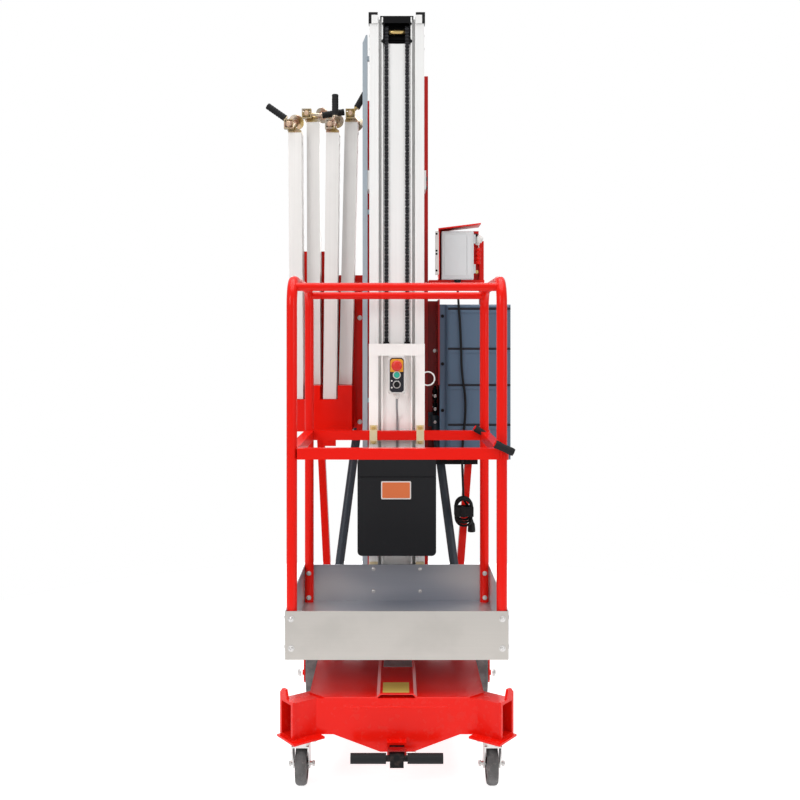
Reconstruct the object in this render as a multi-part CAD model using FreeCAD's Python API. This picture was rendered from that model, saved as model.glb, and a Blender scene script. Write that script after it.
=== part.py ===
"""Vertical mast lift: wheeled base, telescopic mast, caged work platform, four stowed outriggers.

Millimetres. +Z is up, +X is the right-hand side seen from the platform end, and -Y is the
platform end. The origin is on the floor, under the middle of the machine.
"""
import FreeCAD, Part
import math
import os

# Overall places
MAST_TOP = 2521.0
FLOOR_TOP = 390.0
CARRIAGE_FRONT = 138.5
SLIDE_FIT = 0.3

# Mast extrusion, seen from above
SECTION_WIDTH = 202.0
SECTION_DEPTH = 60.0
SECTION_GAP = 5.0
SECTION_TOP_STEP = 16.0
MOVING_SECTIONS = 4
MOVING_BOTTOM = 285.0
FIXED_BOTTOM = 175.0
WALL = 5.0
LIP_WIDTH = 34.0
SLOT_WIDTH = 11.0
CHANNEL_DEPTH = 28.0
TROUGH_DEPTH = 16.0
NECK_THICKNESS = 5.0
FLANGE_THICKNESS = 11.0
FLANGE_CLEARANCE = 5.0
PAD_CLEARANCE = 0.5
PAD_HEIGHT = 100.0
PAD_SPACING = 200.0
PAD_NECK_GAP = 10.5
SECTION_TRAVEL = 1850.0
CARRIAGE_TRAVEL = 1080.0

# Chain head and lift chains
HEAD_HEIGHT = 94.0
HEAD_CHEEK = 5.0
HEAD_PLATE = 4.0
HEAD_COVER_HEIGHT = 22.0
HEAD_COVER_THICKNESS = 3.0
SPROCKET_RADIUS = 19.0
SPROCKET_WIDTH = 7.0
HEAD_AXLE_RADIUS = 6.0
CHAIN_PLACE = 38.0
CHAIN_PITCH = 12.7
CHAIN_WIDTH = 14.0
CHAIN_WAIST = 9.0
CHAIN_THICKNESS = 11.0
CAP_HEIGHT = 41.0
CAP_LIFT = 17.0
CAP_WALL = 3.0
CAP_LENGTH = 34.0

# Carriage
CARRIAGE_BOTTOM = 300.0
CARRIAGE_TOP = 1318.0
CARRIAGE_PLATE_HEIGHT = 43.0
CARRIAGE_PLATE = 4.0
STATION_SIZE = (62.0, 60.0, 135.0)
STATION_DROP = 0.5
STATION_KNOBS = (
    {"drop": 34.5, "radius": 19.0, "reach": 22.0},
    {"drop": 67.5, "radius": 11.0, "reach": 8.0},
    {"drop": 101.5, "radius": 12.0, "reach": 12.0},
)
GLAND_RADIUS = 9.0
GLAND_LENGTH = 18.0
STATION_CABLE_RADIUS = 4.0
STATION_CABLE_END = 930.0
RING_RADIUS = 24.5
RING_WIRE = 2.5
RING_DROP = 127.0

# Platform and guard rails
POST_RADIUS = 16.0
POST_WALL = 2.5
POST_SPAN = 630.0
CAGE_DEPTH = 600.0
HOOP_CENTRE_Z = 1511.0
HOOP_BEND = 75.0
TOP_RAIL_Z = 1490.0
TOP_RAIL_RADIUS = 12.5
MID_RAIL_Z = 989.0
MID_RAIL = 33.0
FLOOR_SHEET = 3.0
FRAME_HEIGHT = 20.0
FRAME_TUBE = 40.0
FRAME_SETBACK = 30.0
BOARD_THICKNESS = 3.0
BOARD_TOP = 521.0
BOARD_BOTTOM = 376.0
CLAMP_STRAP = 3.0
CLAMP_WIDTH = 27.0
CLAMP_EAR = 18.0
HANGER_WIDTH = 30.0
HANGER_THICKNESS = 4.0
HANGER_TOP = 530.0

# Tool box on the carriage
TOOLBOX_WIDTH = 276.0
TOOLBOX_BOTTOM = 574.0
TOOLBOX_TOP = 918.0
TOOLBOX_SPLIT = 850.0
TOOLBOX_FRONT = 28.0
TOOLBOX_REAR_GAP = 4.0
TOOLBOX_WALL = 3.0
TOOLBOX_CORNER = 16.0
LID_GAP = 2.0
LID_STRAP = 28.0
LID_KNUCKLE = 12.0
LID_KNUCKLE_RADIUS = 3.5
LID_PIN = 1.8

# Entry bar on the right-hand side
ENTRY_BAR_SIZE = 30.0
ENTRY_SLEEVE_HEIGHT = 36.0
ENTRY_SLEEVE_WALL = 4.0
ENTRY_CLEARANCE = 0.5
ENTRY_END_GAP = 1.0
ENTRY_LIFT = 400.0
GRIP_RADIUS = 8.5
GRIP_STUB = {"across": 10.0, "above": 14.0, "radius": 6.0}
GRIPS = (
    {"y": -513.0, "inner": (288.0, 1023.0), "outer": (346.0, 996.0)},
    {"y": 95.0, "inner": (276.0, 1019.0), "outer": (332.0, 984.0)},
)

# Base frame
RAIL_BOTTOM = 165.0
RAIL_TOP = 265.0
RAIL_INNER = 205.0
RAIL_WIDTH = 50.0
RAIL_WALL = 5.0
BASE_FRONT = -507.0
BASE_REAR = 590.0
NOSE_PLATE = 5.0
NOSE_HALF = 240.0
NOSE_BOTTOM = 158.0
NOSE_TIP = 106.0
NOSE_FLAT_HALF = 188.0
NOSE_TIP_HALF = 49.0
CROSS_PLACES = (-120.0, 190.0)
FOOT_PLATE = 10.0
FOOT_PLATE_FRONT = 443.5
DECK_HALF = 262.0
DECK_CHAMFER_X = 217.0
DECK_CHAMFER_Y = -468.0
DECK_REAR = 190.0
DECK_SHEET = 4.0
TUNNEL_HALF = 60.0
TUNNEL_FLANK = 10.0
TUNNEL_RISE = 10.0
BALLAST = {"half": 205.0, "front": -380.0, "rear": -120.0, "bottom": 172.0, "top": 258.0}

# Outrigger sockets
SOCKET_ANGLE = 36.0
SOCKET_WIDTH = 64.0
SOCKET_BOTTOM = 160.0
SOCKET_WALL = 5.0
SOCKET_LENGTH = 185.0
SOCKET_MOUTH_X = 326.0
SOCKET_MOUTH_Y = {"front": -530.0, "rear": 563.0}
COLLAR_THICKNESS = 8.0
COLLAR_RIM = 5.0
COLLAR_EAR = 27.0
COLLAR_SLOPE = 14.0

# Casters
CASTER_X = 284.0
CASTER_Y = -519.0
CASTER_PAD = (105.0, 100.0)
CASTER_PAD_THICKNESS = 6.0
CASTER_PLATE = (84.0, 76.0)
CASTER_PLATE_THICKNESS = 4.0
CASTER_WHEEL_RADIUS = 62.5
CASTER_WHEEL_WIDTH = 36.0
CASTER_TRAIL = 37.0
CASTER_FORK_GAP = 4.0
CASTER_FORK_SHEET = 4.0
CASTER_CROWN_GAP = 6.0
CASTER_RACE_RADIUS = 29.0
CASTER_AXLE_RADIUS = 6.0
AXLE_RUNNING = 0.05

# Main wheels
WHEEL_RADIUS = 80.0
WHEEL_WIDTH = 45.0
WHEEL_INNER_X = 292.0
WHEEL_Y = 290.0
RIM_RADIUS = 56.0
WHEEL_AXLE_RADIUS = 10.0
WHEEL_SIDE_GAP = 4.5
WHEEL_PLATE = 6.0
WHEEL_PLATE_HALF = 36.0
WHEEL_PLATE_DROP = 30.0
WHEEL_TOP_GAP = 12.0

# Towing handle
DRAWBAR_SIZE = 40.0
DRAWBAR_Z = 116.0
DRAWBAR_FRONT = -598.0
DRAWBAR_LENGTH = 520.0
DRAWBAR_WALL = 3.0
DRAWBAR_CLEARANCE = 2.0
GUIDE_WALL = 6.5
GUIDE_FRONT = -537.0
GUIDE_REAR = -70.0
GUIDE_BRIDGE = 50.0
DRAWBAR_PULL = 250.0
HANDLE_SPAN = 264.0
HANDLE_Z = 120.0
HANDLE_ROD_RADIUS = 9.0
HANDLE_GRIP_RADIUS = 15.0
HANDLE_GRIP_LENGTH = 101.0
HANDLE_SETBACK = 10.0

# Rear column, straps, conduit and braces
COLUMN_HALF = 125.0
COLUMN_DEPTH = 58.0
COLUMN_SHEET = 6.0
COLUMN_TOP = 2290.0
COLUMN_EAR_TOP = 2388.0
STRAP_BOTTOM = 1918.0
STRAP_TOP = 1991.0
STRAP_INNER = 106.0
STRAP_THICKNESS = 8.0
STRAP_FRONT = 405.0
CONDUIT_WIDTH = 18.0
CONDUIT_DEPTH = 25.0
CONDUIT_STANDOFF = 8.0
CONDUIT_FRONT = 232.0
CONDUIT_TOP = 2464.0
CONDUIT_WALL = 2.0
CONDUIT_CLIPS = (420.0, 1100.0, 1800.0, 2370.0)
BRACE_RADIUS = 17.0
BRACE_TOP = (150.0, 513.0, 1030.0)
BRACE_FOOT = (252.0, 362.0)
BRACE_ROOM = 4.0
FOOT_PAD = {"inner": 205.0, "outer": 285.0, "front": 335.0, "rear": 480.0, "thickness": 6.0}
LEG_WIDTH = 28.0
LEG_DEPTH = 40.0
LEG_WALL = 3.0
LEG_FRONT = 432.0

# Outrigger rack
RACK_SHEET = 5.0
RACK_FRONT = 313.0
RACK_BACK = 478.0
RACK_LEFT = -412.0
RACK_RIGHT = -170.0
RACK_BOTTOM = 985.0
RACK_TAB = {"left": -281.0, "right": -231.0, "bottom": 930.0}
RACK_HIGH = 1683.0
RACK_LOW = 1589.0
RACK_SPLIT = -285.0
RACK_POST = {"left": -158.0, "right": -134.0, "bottom": 950.0, "top": 1470.0}
LEDGE = {"front": 1107.0, "back": 1160.0}
ROW_Y = {"front": 367.0, "back": 427.0}
RACK_STEP_SHIFT = 3.0
RACK_FLANGE = (1060.0, 1300.0)

# Outriggers, stowed upright. Shift is the jack's sideways offset, and the grip runs from one
# (x, z) place to another, both from the jack's axis, as the pad's own offset at the rear is
BEAM_WIDTH = 50.0
BEAM_DEPTH = 90.0
BEAM_LENGTH = 1040.0
BEAM_WALL = 4.0
OUTRIGGERS = (
    {
        "name": "outrigger_1", "row": "front", "foot_x": -381.0, "head_x": -388.0, "shift": -20.0, "pad": (10.0, 44.0),
        "grip_from": (-10.0, 20.0), "grip_to": (-80.0, 69.0),
    },
    {
        "name": "outrigger_2", "row": "back", "foot_x": -320.0, "head_x": -323.0, "shift": -23.0, "pad": (46.0, 32.0),
        "grip_from": (57.0, -6.0), "grip_to": (143.0, 7.0),
    },
    {
        "name": "outrigger_3", "row": "front", "foot_x": -255.0, "head_x": -244.0, "shift": -9.0, "pad": (12.0, 50.0),
        "grip_from": (20.0, 30.0), "grip_to": (20.0, 111.0),
    },
    {
        "name": "outrigger_4", "row": "back", "foot_x": -199.0, "head_x": -175.0, "shift": -3.0, "pad": (12.0, 0.0),
        "grip_from": (23.0, 21.0), "grip_to": (56.0, 79.0),
    },
)
OUTRIGGER_LIFT = 50.0
OUTRIGGER_REST_GAP = 1.0
PEG_CLEARANCE = 3.0
PEG_HEIGHT = 44.0
HEAD_BLOCK = 8.0
HEAD_NECK = 3.0
JACK_SLEEVE_RADIUS = 16.0
JACK_SCREW_RADIUS = 12.0
JACK_FRONT_REACH = 30.0
JACK_REAR_REACH = 62.0
PAD_RADIUS = 31.0
PAD_THICKNESS = 6.0
CRANK_BOX = 36.0
CRANK_SHEET = 4.0
CRANK_GRIP_RADIUS = 11.0
CRANK_ARM_RADIUS = 6.0
CRANK_ARM_OVERLAP = 6.0

# Power unit on the right-hand side
COVER_LEFT = 189.0
COVER_RIGHT = 440.0
COVER_BOTTOM = 870.0
COVER_TOP = 1470.0
COVER_FRONT = 372.0
COVER_REAR = 598.0
COVER_WALL = 4.0
COVER_CORNER = 20.0
COVER_GROOVES = (1448.0, 1294.0, 1154.0, 1001.0)
COVER_GROOVE_HEIGHT = 9.0
COVER_GROOVE_DEPTH = 2.5
COVER_FLANGE = 23.0
COVER_FLANGE_SETBACK = 22.0
BRACKET_SHEET = 6.0
BRACKET_TOP = 1489.0
SIDE_PANEL_BOTTOM = 983.0
SIDE_STRIP_BOTTOM = 1158.0
SIDE_PANEL_Y = 532.0
PACK_CLEARANCE = 14.0
PACK_HEIGHT = 330.0
TRAY = {"left": 126.0, "right": 314.0, "front": 402.0, "thickness": 20.0}

# Control box over the power unit
CONTROL_LEFT = 173.0
CONTROL_RIGHT = 296.0
CONTROL_BOTTOM = 1566.0
CONTROL_TOP = 1751.0
CONTROL_FRONT = 372.0
CONTROL_DEPTH = 95.0
CONTROL_DOOR = 14.0
CONTROL_WALL = 2.0
DOOR_GAP = 1.0
KNUCKLE_RADIUS = 4.0
KNUCKLE_PIN = 2.5
KNUCKLE_HEIGHT = 34.0
KNUCKLE_END = 10.0
KNUCKLE_PLACES = (1590.0, 1705.0)
SHELF = {"left": 125.0, "front": 414.0, "thickness": 15.0}
CANOPY_LEFT = 160.0
CANOPY_RIGHT = 323.0
CANOPY_SHEET = 5.0
CANOPY_GAP = 6.0
CANOPY_RISE = 20.0
SIDE_POST_RIGHT = 341.0
SIDE_POST_WIDTH = 17.0
SIDE_POST_TOP = 1720.0

# Hanging supply lead
LEAD_RADIUS = 4.5
LEAD_GLAND = (236.0, 398.0)
LEAD_ROUTE = (
    (236.0, 398.0, 1548.0),
    (236.0, 398.0, 1528.0),
    (236.5, 391.0, 1512.0),
    (237.5, 364.0, 1468.0),
    (243.0, 362.0, 1395.0),
    (247.0, 361.0, 1300.0),
    (249.0, 361.0, 1205.0),
    (264.0, 361.0, 1115.0),
    (263.0, 361.0, 1035.0),
    (254.0, 361.0, 955.0),
    (250.0, 361.0, 875.0),
    (253.0, 361.0, 800.0),
    (256.0, 361.0, 728.0),
)
HANK_SIZE = (54.0, 36.0, 112.0)
PLUG_SIZE = (22.0, 28.0, 42.0)

# Worked out from the sizes above
SECTION_PITCH = SECTION_DEPTH + SECTION_GAP
HALF_WIDTH = SECTION_WIDTH / 2
LIP_EDGE = HALF_WIDTH - LIP_WIDTH
SLOT_EDGE = LIP_EDGE - SLOT_WIDTH
TROUGH_HALF = SLOT_EDGE - WALL
LIP_MIDDLE = HALF_WIDTH - LIP_WIDTH / 2
FRONT_SECTION_Y = CARRIAGE_FRONT + SECTION_PITCH
FIXED_SECTION_Y = FRONT_SECTION_Y + SECTION_PITCH * MOVING_SECTIONS
COLUMN_FRONT = FIXED_SECTION_Y + SECTION_DEPTH
RING_HEIGHT = CARRIAGE_TOP - RING_DROP
STATION_TOP = CARRIAGE_TOP - CARRIAGE_PLATE_HEIGHT - STATION_DROP
CHAIN_AXIS = TROUGH_DEPTH - SLIDE_FIT - CHAIN_THICKNESS / 2 + SPROCKET_RADIUS
CHAIN_TOP = MAST_TOP - HEAD_HEIGHT / 2
CHAIN_BOTTOM = MOVING_BOTTOM + 35.0
POST_X = POST_SPAN / 2
POST_REAR = CARRIAGE_FRONT - MID_RAIL / 2
POST_FRONT = POST_REAR - CAGE_DEPTH
FLOOR_BOTTOM = FLOOR_TOP - FLOOR_SHEET
FRAME_BOTTOM = FLOOR_BOTTOM - FRAME_HEIGHT
CAGE_FRONT = POST_FRONT - POST_RADIUS
BOARD_REAR_FACE = CARRIAGE_FRONT - HANGER_THICKNESS
TOOLBOX_REAR = CARRIAGE_FRONT - TOOLBOX_REAR_GAP
RAIL_OUTER = RAIL_INNER + RAIL_WIDTH
CASTER_PAD_BOTTOM = SOCKET_BOTTOM - CASTER_PAD_THICKNESS
CASTER_PLATE_BOTTOM = CASTER_PAD_BOTTOM - CASTER_PLATE_THICKNESS
WHEEL_OUTER_PLATE = WHEEL_INNER_X + WHEEL_WIDTH + WHEEL_SIDE_GAP
CONTROL_REAR = CONTROL_FRONT + CONTROL_DEPTH
DOOR_AXIS = (CONTROL_RIGHT + KNUCKLE_RADIUS, CONTROL_FRONT + CONTROL_DOOR / 2)
HEAD_BASE = BEAM_LENGTH - HEAD_BLOCK - JACK_SLEEVE_RADIUS - HEAD_NECK


def vec(x, y, z):
    return FreeCAD.Vector(x, y, z)


def box(x0, x1, y0, y1, z0, z1):
    """A box given as low and high along each axis."""
    return Part.makeBox(x1 - x0, y1 - y0, z1 - z0, vec(x0, y0, z0))


def both(x0, x1, y0, y1, z0, z1):
    """A box and its mirror image on the other side."""
    return [box(x0, x1, y0, y1, z0, z1), box(-x1, -x0, y0, y1, z0, z1)]


def rod(start, end, radius):
    """A round bar from start to end."""
    a = vec(*start)
    b = vec(*end)
    return Part.makeCylinder(radius, (b - a).Length, a, b - a)


def outline(corners, shift):
    """A flat outline through the corners, drawn out along shift."""
    face = Part.Face(Part.makePolygon(corners + corners[:1]))
    return face.extrude(shift)


def prism_z(points, z0, z1):
    """A plan outline of (x, y) points raised from z0 to z1."""
    return outline([vec(x, y, z0) for x, y in points], vec(0, 0, z1 - z0))


def prism_y(points, y0, y1):
    """A front outline of (x, z) points pushed back from y0 to y1."""
    return outline([vec(x, y0, z) for x, z in points], vec(0, y1 - y0, 0))


def prism_x(points, x0, x1):
    """A side outline of (y, z) points pushed across from x0 to x1."""
    return outline([vec(x0, y, z) for y, z in points], vec(x1 - x0, 0, 0))


def mirror_x(shape):
    """The same shape on the other side of the centre plane."""
    return shape.mirror(vec(0, 0, 0), vec(1, 0, 0))


def join(shapes):
    """One solid from pieces that touch or overlap."""
    return shapes[0].fuse(list(shapes[1:])).removeSplitter()


def group(shapes):
    """Separate solids kept in one node."""
    return Part.makeCompound(list(shapes))


def tube_box(x0, x1, y0, y1, z0, z1, wall, along):
    """A rectangular tube, open at both ends along the named axis."""
    wx, wy, wz = {"x": (0, wall, wall), "y": (wall, 0, wall), "z": (wall, wall, 0)}[along]
    inner = box(x0 + wx, x1 - wx, y0 + wy, y1 - wy, z0 + wz, z1 - wz)
    return box(x0, x1, y0, y1, z0, z1).cut(inner)


def rounded_box(x0, x1, y0, y1, z0, z1, radius):
    """A box whose four edges along Y are rounded."""
    solid = box(x0, x1, y0, y1, z0, z1)
    edges = [e for e in solid.Edges if abs(e.tangentAt(e.FirstParameter).y) > 0.99]
    return solid.makeFillet(radius, edges)


def bent_wire(points, bend):
    """Straight runs through the points, joined by arcs of the given radius."""
    edges = []
    last = vec(*points[0])
    for before, corner, after in zip(points, points[1:], points[2:]):
        here = vec(*corner)
        back = (vec(*before) - here).normalize()
        ahead = (vec(*after) - here).normalize()
        half = back.getAngle(ahead) / 2
        reach = bend / math.tan(half)
        start = here + back * reach
        end = here + ahead * reach
        middle_way = (back + ahead).normalize()
        middle = here + middle_way * (bend / math.sin(half) - bend)
        edges.append(Part.LineSegment(last, start).toShape())
        edges.append(Part.Arc(start, middle, end).toShape())
        last = end
    edges.append(Part.LineSegment(last, vec(*points[-1])).toShape())
    return Part.Wire(edges)


def along_wire(wire, radius):
    """A round bar along a wire."""
    first = wire.Edges[0]
    start = first.valueAt(first.FirstParameter)
    heading = first.tangentAt(first.FirstParameter)
    ring = Part.Wire(Part.makeCircle(radius, start, heading))
    return wire.makePipeShell([ring], True, False)


# Mast

def section_profile(y, z0, z1):
    """The mast extrusion: lipped side channels, middle trough and closed cells."""
    inner = HALF_WIDTH - WALL
    cell_rear = y + SECTION_DEPTH - WALL
    cuts = [
        box(-TROUGH_HALF, TROUGH_HALF, y, y + TROUGH_DEPTH, z0, z1),
        box(-TROUGH_HALF, TROUGH_HALF, y + TROUGH_DEPTH + WALL, cell_rear, z0, z1),
    ]
    cuts += both(SLOT_EDGE, inner, y + WALL, y + CHANNEL_DEPTH, z0, z1)
    cuts += both(SLOT_EDGE, LIP_EDGE, y, y + WALL, z0, z1)
    cuts += both(SLOT_EDGE, inner, y + CHANNEL_DEPTH + WALL, cell_rear, z0, z1)
    return box(-HALF_WIDTH, HALF_WIDTH, y, y + SECTION_DEPTH, z0, z1).cut(cuts)


def section_legs(y, z0, z1):
    """Rear legs that run in the side channels of the section behind, with guide pads."""
    middle = (SLOT_EDGE + LIP_EDGE) / 2
    neck_in = middle - NECK_THICKNESS / 2
    lip_back = y + SECTION_PITCH + WALL
    channel_back = y + SECTION_PITCH + CHANNEL_DEPTH
    front = lip_back + FLANGE_CLEARANCE
    rear = front + FLANGE_THICKNESS
    edge = HALF_WIDTH - WALL - FLANGE_CLEARANCE
    pad_in = neck_in + PAD_NECK_GAP
    pieces = [
        box(neck_in, neck_in + NECK_THICKNESS, y + SECTION_DEPTH, rear, z0, z1),
        box(neck_in, edge, front, rear, z0, z1),
    ]
    for low in (z0, z0 + PAD_SPACING):
        high = low + PAD_HEIGHT
        pieces.append(box(pad_in, edge, lip_back + PAD_CLEARANCE, front, low, high))
        pieces.append(box(pad_in, edge, rear, channel_back - PAD_CLEARANCE, low, high))
    leg = join(pieces)
    return [leg, mirror_x(leg)]


def section_span(index):
    """Front face, bottom and top of a section. Section 1 is the fixed one at the rear."""
    y = FIXED_SECTION_Y - SECTION_PITCH * (index - 1)
    bottom = FIXED_BOTTOM if index == 1 else MOVING_BOTTOM
    top = MAST_TOP - SECTION_TOP_STEP * (MOVING_SECTIONS + 1 - index)
    return y, bottom, top


def sprocket_set(y, top, reach, radius):
    """Two sprockets on their axle across the top of a section."""
    z = top - HEAD_HEIGHT / 2
    centre = y + CHAIN_AXIS
    pieces = [rod((-reach, centre, z), (reach, centre, z), HEAD_AXLE_RADIUS)]
    half = SPROCKET_WIDTH / 2
    for x in (-CHAIN_PLACE, CHAIN_PLACE):
        pieces.append(rod((x - half, centre, z), (x + half, centre, z), radius))
    return join(pieces)


def head_cheeks(y, top):
    """Plates each side of the sprockets that hold their axle."""
    rear = y + SECTION_DEPTH - WALL
    return both(TROUGH_HALF - HEAD_CHEEK, TROUGH_HALF, y, rear, top - HEAD_HEIGHT, top)


def mast_section(index):
    """One mast section. The hidden moving ones carry their own sprockets."""
    y, bottom, top = section_span(index)
    rear = y + SECTION_DEPTH - WALL
    pocket = box(-TROUGH_HALF, TROUGH_HALF, y, rear, top - HEAD_HEIGHT, top)
    pieces = [section_profile(y, bottom, top).cut(pocket)]
    if index > 1:
        pieces += section_legs(y, bottom, top)
    if index <= MOVING_SECTIONS:
        pieces += head_cheeks(y, top)
        pieces.append(sprocket_set(y, top, TROUGH_HALF, SPROCKET_RADIUS))
    return join(pieces)


def chain_head():
    """Black head of the front section: cheeks, cover and cap plate round its two sprockets."""
    y, _, top = section_span(MOVING_SECTIONS + 1)
    inner = TROUGH_HALF - HEAD_CHEEK
    plate_half = SLOT_EDGE + SLOT_WIDTH / 2
    hub = SPROCKET_RADIUS - CHAIN_THICKNESS / 2 - SLIDE_FIT
    cover_rear = y + HEAD_COVER_THICKNESS
    pieces = head_cheeks(y, top)
    pieces.append(box(-inner, inner, y, cover_rear, top - HEAD_COVER_HEIGHT, top))
    pieces.append(box(-plate_half, plate_half, y, y + SECTION_DEPTH, top, top + HEAD_PLATE))
    pieces.append(sprocket_set(y, top, TROUGH_HALF, hub))
    return join(pieces)


def corner_caps():
    """Black caps over the front section's two outer corners."""
    y, _, top = section_span(MOVING_SECTIONS + 1)
    low = top + CAP_LIFT - CAP_HEIGHT
    x0 = LIP_EDGE + CAP_WALL
    x1 = HALF_WIDTH + CAP_WALL
    outer = box(x0, x1, y - CAP_WALL, y + CAP_LENGTH, low, top + CAP_LIFT)
    cap = outer.cut(box(LIP_EDGE, HALF_WIDTH, y, y + CAP_LENGTH + 1, low, top))
    return group([cap, mirror_x(cap)])


def chain_run(x):
    """A leaf chain seen from the front: wide links and narrow waists in turn."""
    y = section_span(MOVING_SECTIONS + 1)[0]
    rear = y + TROUGH_DEPTH - SLIDE_FIT
    period = 2 * CHAIN_PITCH
    count = int((CHAIN_TOP - CHAIN_BOTTOM) // period)
    right = []
    for step in range(count):
        z = CHAIN_TOP - period * (step + 0.5)
        right.append((x + CHAIN_WIDTH / 2, z + period * 0.3))
        right.append((x + CHAIN_WAIST / 2, z - period * 0.3))
    left = [(2 * x - px, z) for px, z in reversed(right)]
    top = [(x - CHAIN_WAIST / 2, CHAIN_TOP), (x + CHAIN_WAIST / 2, CHAIN_TOP)]
    return prism_y(top + right + left, rear - CHAIN_THICKNESS, rear)


def chain_wrap(x):
    """The stretch of chain over its sprocket."""
    centre = section_span(MOVING_SECTIONS + 1)[0] + CHAIN_AXIS
    outer = SPROCKET_RADIUS + CHAIN_THICKNESS / 2
    inner = SPROCKET_RADIUS - CHAIN_THICKNESS / 2
    half = CHAIN_WAIST / 2
    start = (x - half, centre, CHAIN_TOP)
    end = (x + half, centre, CHAIN_TOP)
    ring = rod(start, end, outer).cut(rod(start, end, inner))
    below = box(x - half, x + half, centre - outer, centre + outer, CHAIN_TOP - outer, CHAIN_TOP)
    return ring.cut(below)


def lift_chains():
    """The two chains in the front section's trough."""
    return group([join([chain_run(x), chain_wrap(x)]) for x in (-CHAIN_PLACE, CHAIN_PLACE)])


def hose_conduit():
    """Light channel for hoses, clipped along the left of the front section."""
    x1 = -HALF_WIDTH - CONDUIT_STANDOFF
    x0 = x1 - CONDUIT_WIDTH
    y0 = CONDUIT_FRONT
    y1 = y0 + CONDUIT_DEPTH
    duct = tube_box(x0, x1, y0, y1, MOVING_BOTTOM, CONDUIT_TOP, CONDUIT_WALL, "z")
    slope = [(x0 - 1, CONDUIT_TOP + 1), (x0 - 1, CONDUIT_TOP - 32.0), (x1 - 5.0, CONDUIT_TOP + 1)]
    pieces = [duct.cut(prism_y(slope, y0 - 1, y1 + 1))]
    for z in CONDUIT_CLIPS:
        pieces.append(box(x1, -HALF_WIDTH, y0 + 4.0, y1 - 4.0, z, z + 16.0))
    return join(pieces)


# Carriage and what it carries

def carriage():
    """A short length of the mast extrusion with a cross plate at its top."""
    y = CARRIAGE_FRONT
    low = CARRIAGE_TOP - CARRIAGE_PLATE_HEIGHT
    plate = box(-HALF_WIDTH, HALF_WIDTH, y - CARRIAGE_PLATE, y, low, CARRIAGE_TOP)
    body = section_profile(y, CARRIAGE_BOTTOM, CARRIAGE_TOP)
    return join([body, plate] + section_legs(y, CARRIAGE_BOTTOM, CARRIAGE_TOP))


def control_station():
    """Push-button station on the carriage, with its knobs and cable gland."""
    width, depth, height = STATION_SIZE
    bottom = STATION_TOP - height
    front = CARRIAGE_FRONT - depth
    y = CARRIAGE_FRONT - depth / 2
    pieces = [
        rounded_box(-width / 2, width / 2, front, CARRIAGE_FRONT, bottom, STATION_TOP, 6.0),
        rod((0, y, bottom - GLAND_LENGTH), (0, y, bottom), GLAND_RADIUS),
    ]
    for knob in STATION_KNOBS:
        z = STATION_TOP - knob["drop"]
        pieces.append(rod((0, front - knob["reach"], z), (0, front, z), knob["radius"]))
    return join(pieces)


def station_cable():
    """Cable from the station's gland back into the trough and down behind the middle rail."""
    y = CARRIAGE_FRONT - STATION_SIZE[1] / 2
    top = STATION_TOP - STATION_SIZE[2] - GLAND_LENGTH - SLIDE_FIT
    back = CARRIAGE_FRONT + TROUGH_DEPTH - STATION_CABLE_RADIUS - 1.0
    points = [(0, y, top), (0, y, top - 32.0), (2, back, top - 78.0), (2, back, STATION_CABLE_END)]
    return along_wire(bent_wire(points, 28.0), STATION_CABLE_RADIUS)


def rail_clamps():
    """Strap saddles that hold the rear middle rail to the carriage."""
    x0 = LIP_MIDDLE - CLAMP_WIDTH / 2
    x1 = LIP_MIDDLE + CLAMP_WIDTH / 2
    y = CARRIAGE_FRONT
    top = MID_RAIL_Z + MID_RAIL / 2
    bottom = MID_RAIL_Z - MID_RAIL / 2
    front = y - MID_RAIL
    strap = CLAMP_STRAP
    shell = box(x0, x1, front - strap, y, bottom - strap, top + strap)
    pieces = [shell.cut(box(x0, x1, front, y, bottom, top))]
    for low, high in ((top, top + CLAMP_EAR), (bottom - CLAMP_EAR, bottom)):
        pieces.append(box(x0, x1, y - strap, y, low, high))
    clamp = join(pieces)
    return [clamp, mirror_x(clamp)]


def harness_ring():
    """Wire loop for a safety harness, welded to the carriage's right-hand side."""
    x = HALF_WIDTH + RING_RADIUS / 2
    y = CARRIAGE_FRONT + SECTION_DEPTH / 2
    z = RING_HEIGHT
    ring = Part.makeTorus(RING_RADIUS, RING_WIRE, vec(x, y, z), vec(0, 1, 0))
    reach = RING_RADIUS + 2 * RING_WIRE
    return ring.cut(box(x - reach, HALF_WIDTH, y - reach, y + reach, z - reach, z + reach))


def carriage_brackets():
    """Rail saddles and the plates behind the rear toe board."""
    x0 = LIP_MIDDLE - HANGER_WIDTH / 2
    x1 = LIP_MIDDLE + HANGER_WIDTH / 2
    plates = both(x0, x1, BOARD_REAR_FACE, CARRIAGE_FRONT, FLOOR_TOP, HANGER_TOP)
    return group(rail_clamps() + plates)


# Platform

def hoop_wire(extra):
    """Line of the left hoop: up the front post, along the top, down the rear post."""
    x = -POST_X
    low = BOARD_BOTTOM - extra
    points = [
        (x, POST_FRONT, low), (x, POST_FRONT, HOOP_CENTRE_Z),
        (x, POST_REAR, HOOP_CENTRE_Z), (x, POST_REAR, low),
    ]
    return bent_wire(points, HOOP_BEND)


def hoop_tube():
    """The left hoop's tube."""
    outer = along_wire(hoop_wire(0), POST_RADIUS)
    return outer.cut(along_wire(hoop_wire(0), POST_RADIUS - POST_WALL))


def hoop_room():
    """Both hoops' outsides with a little room, used to end other pieces on them."""
    left = along_wire(hoop_wire(1), POST_RADIUS + SLIDE_FIT)
    return [left, mirror_x(left)]


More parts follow.
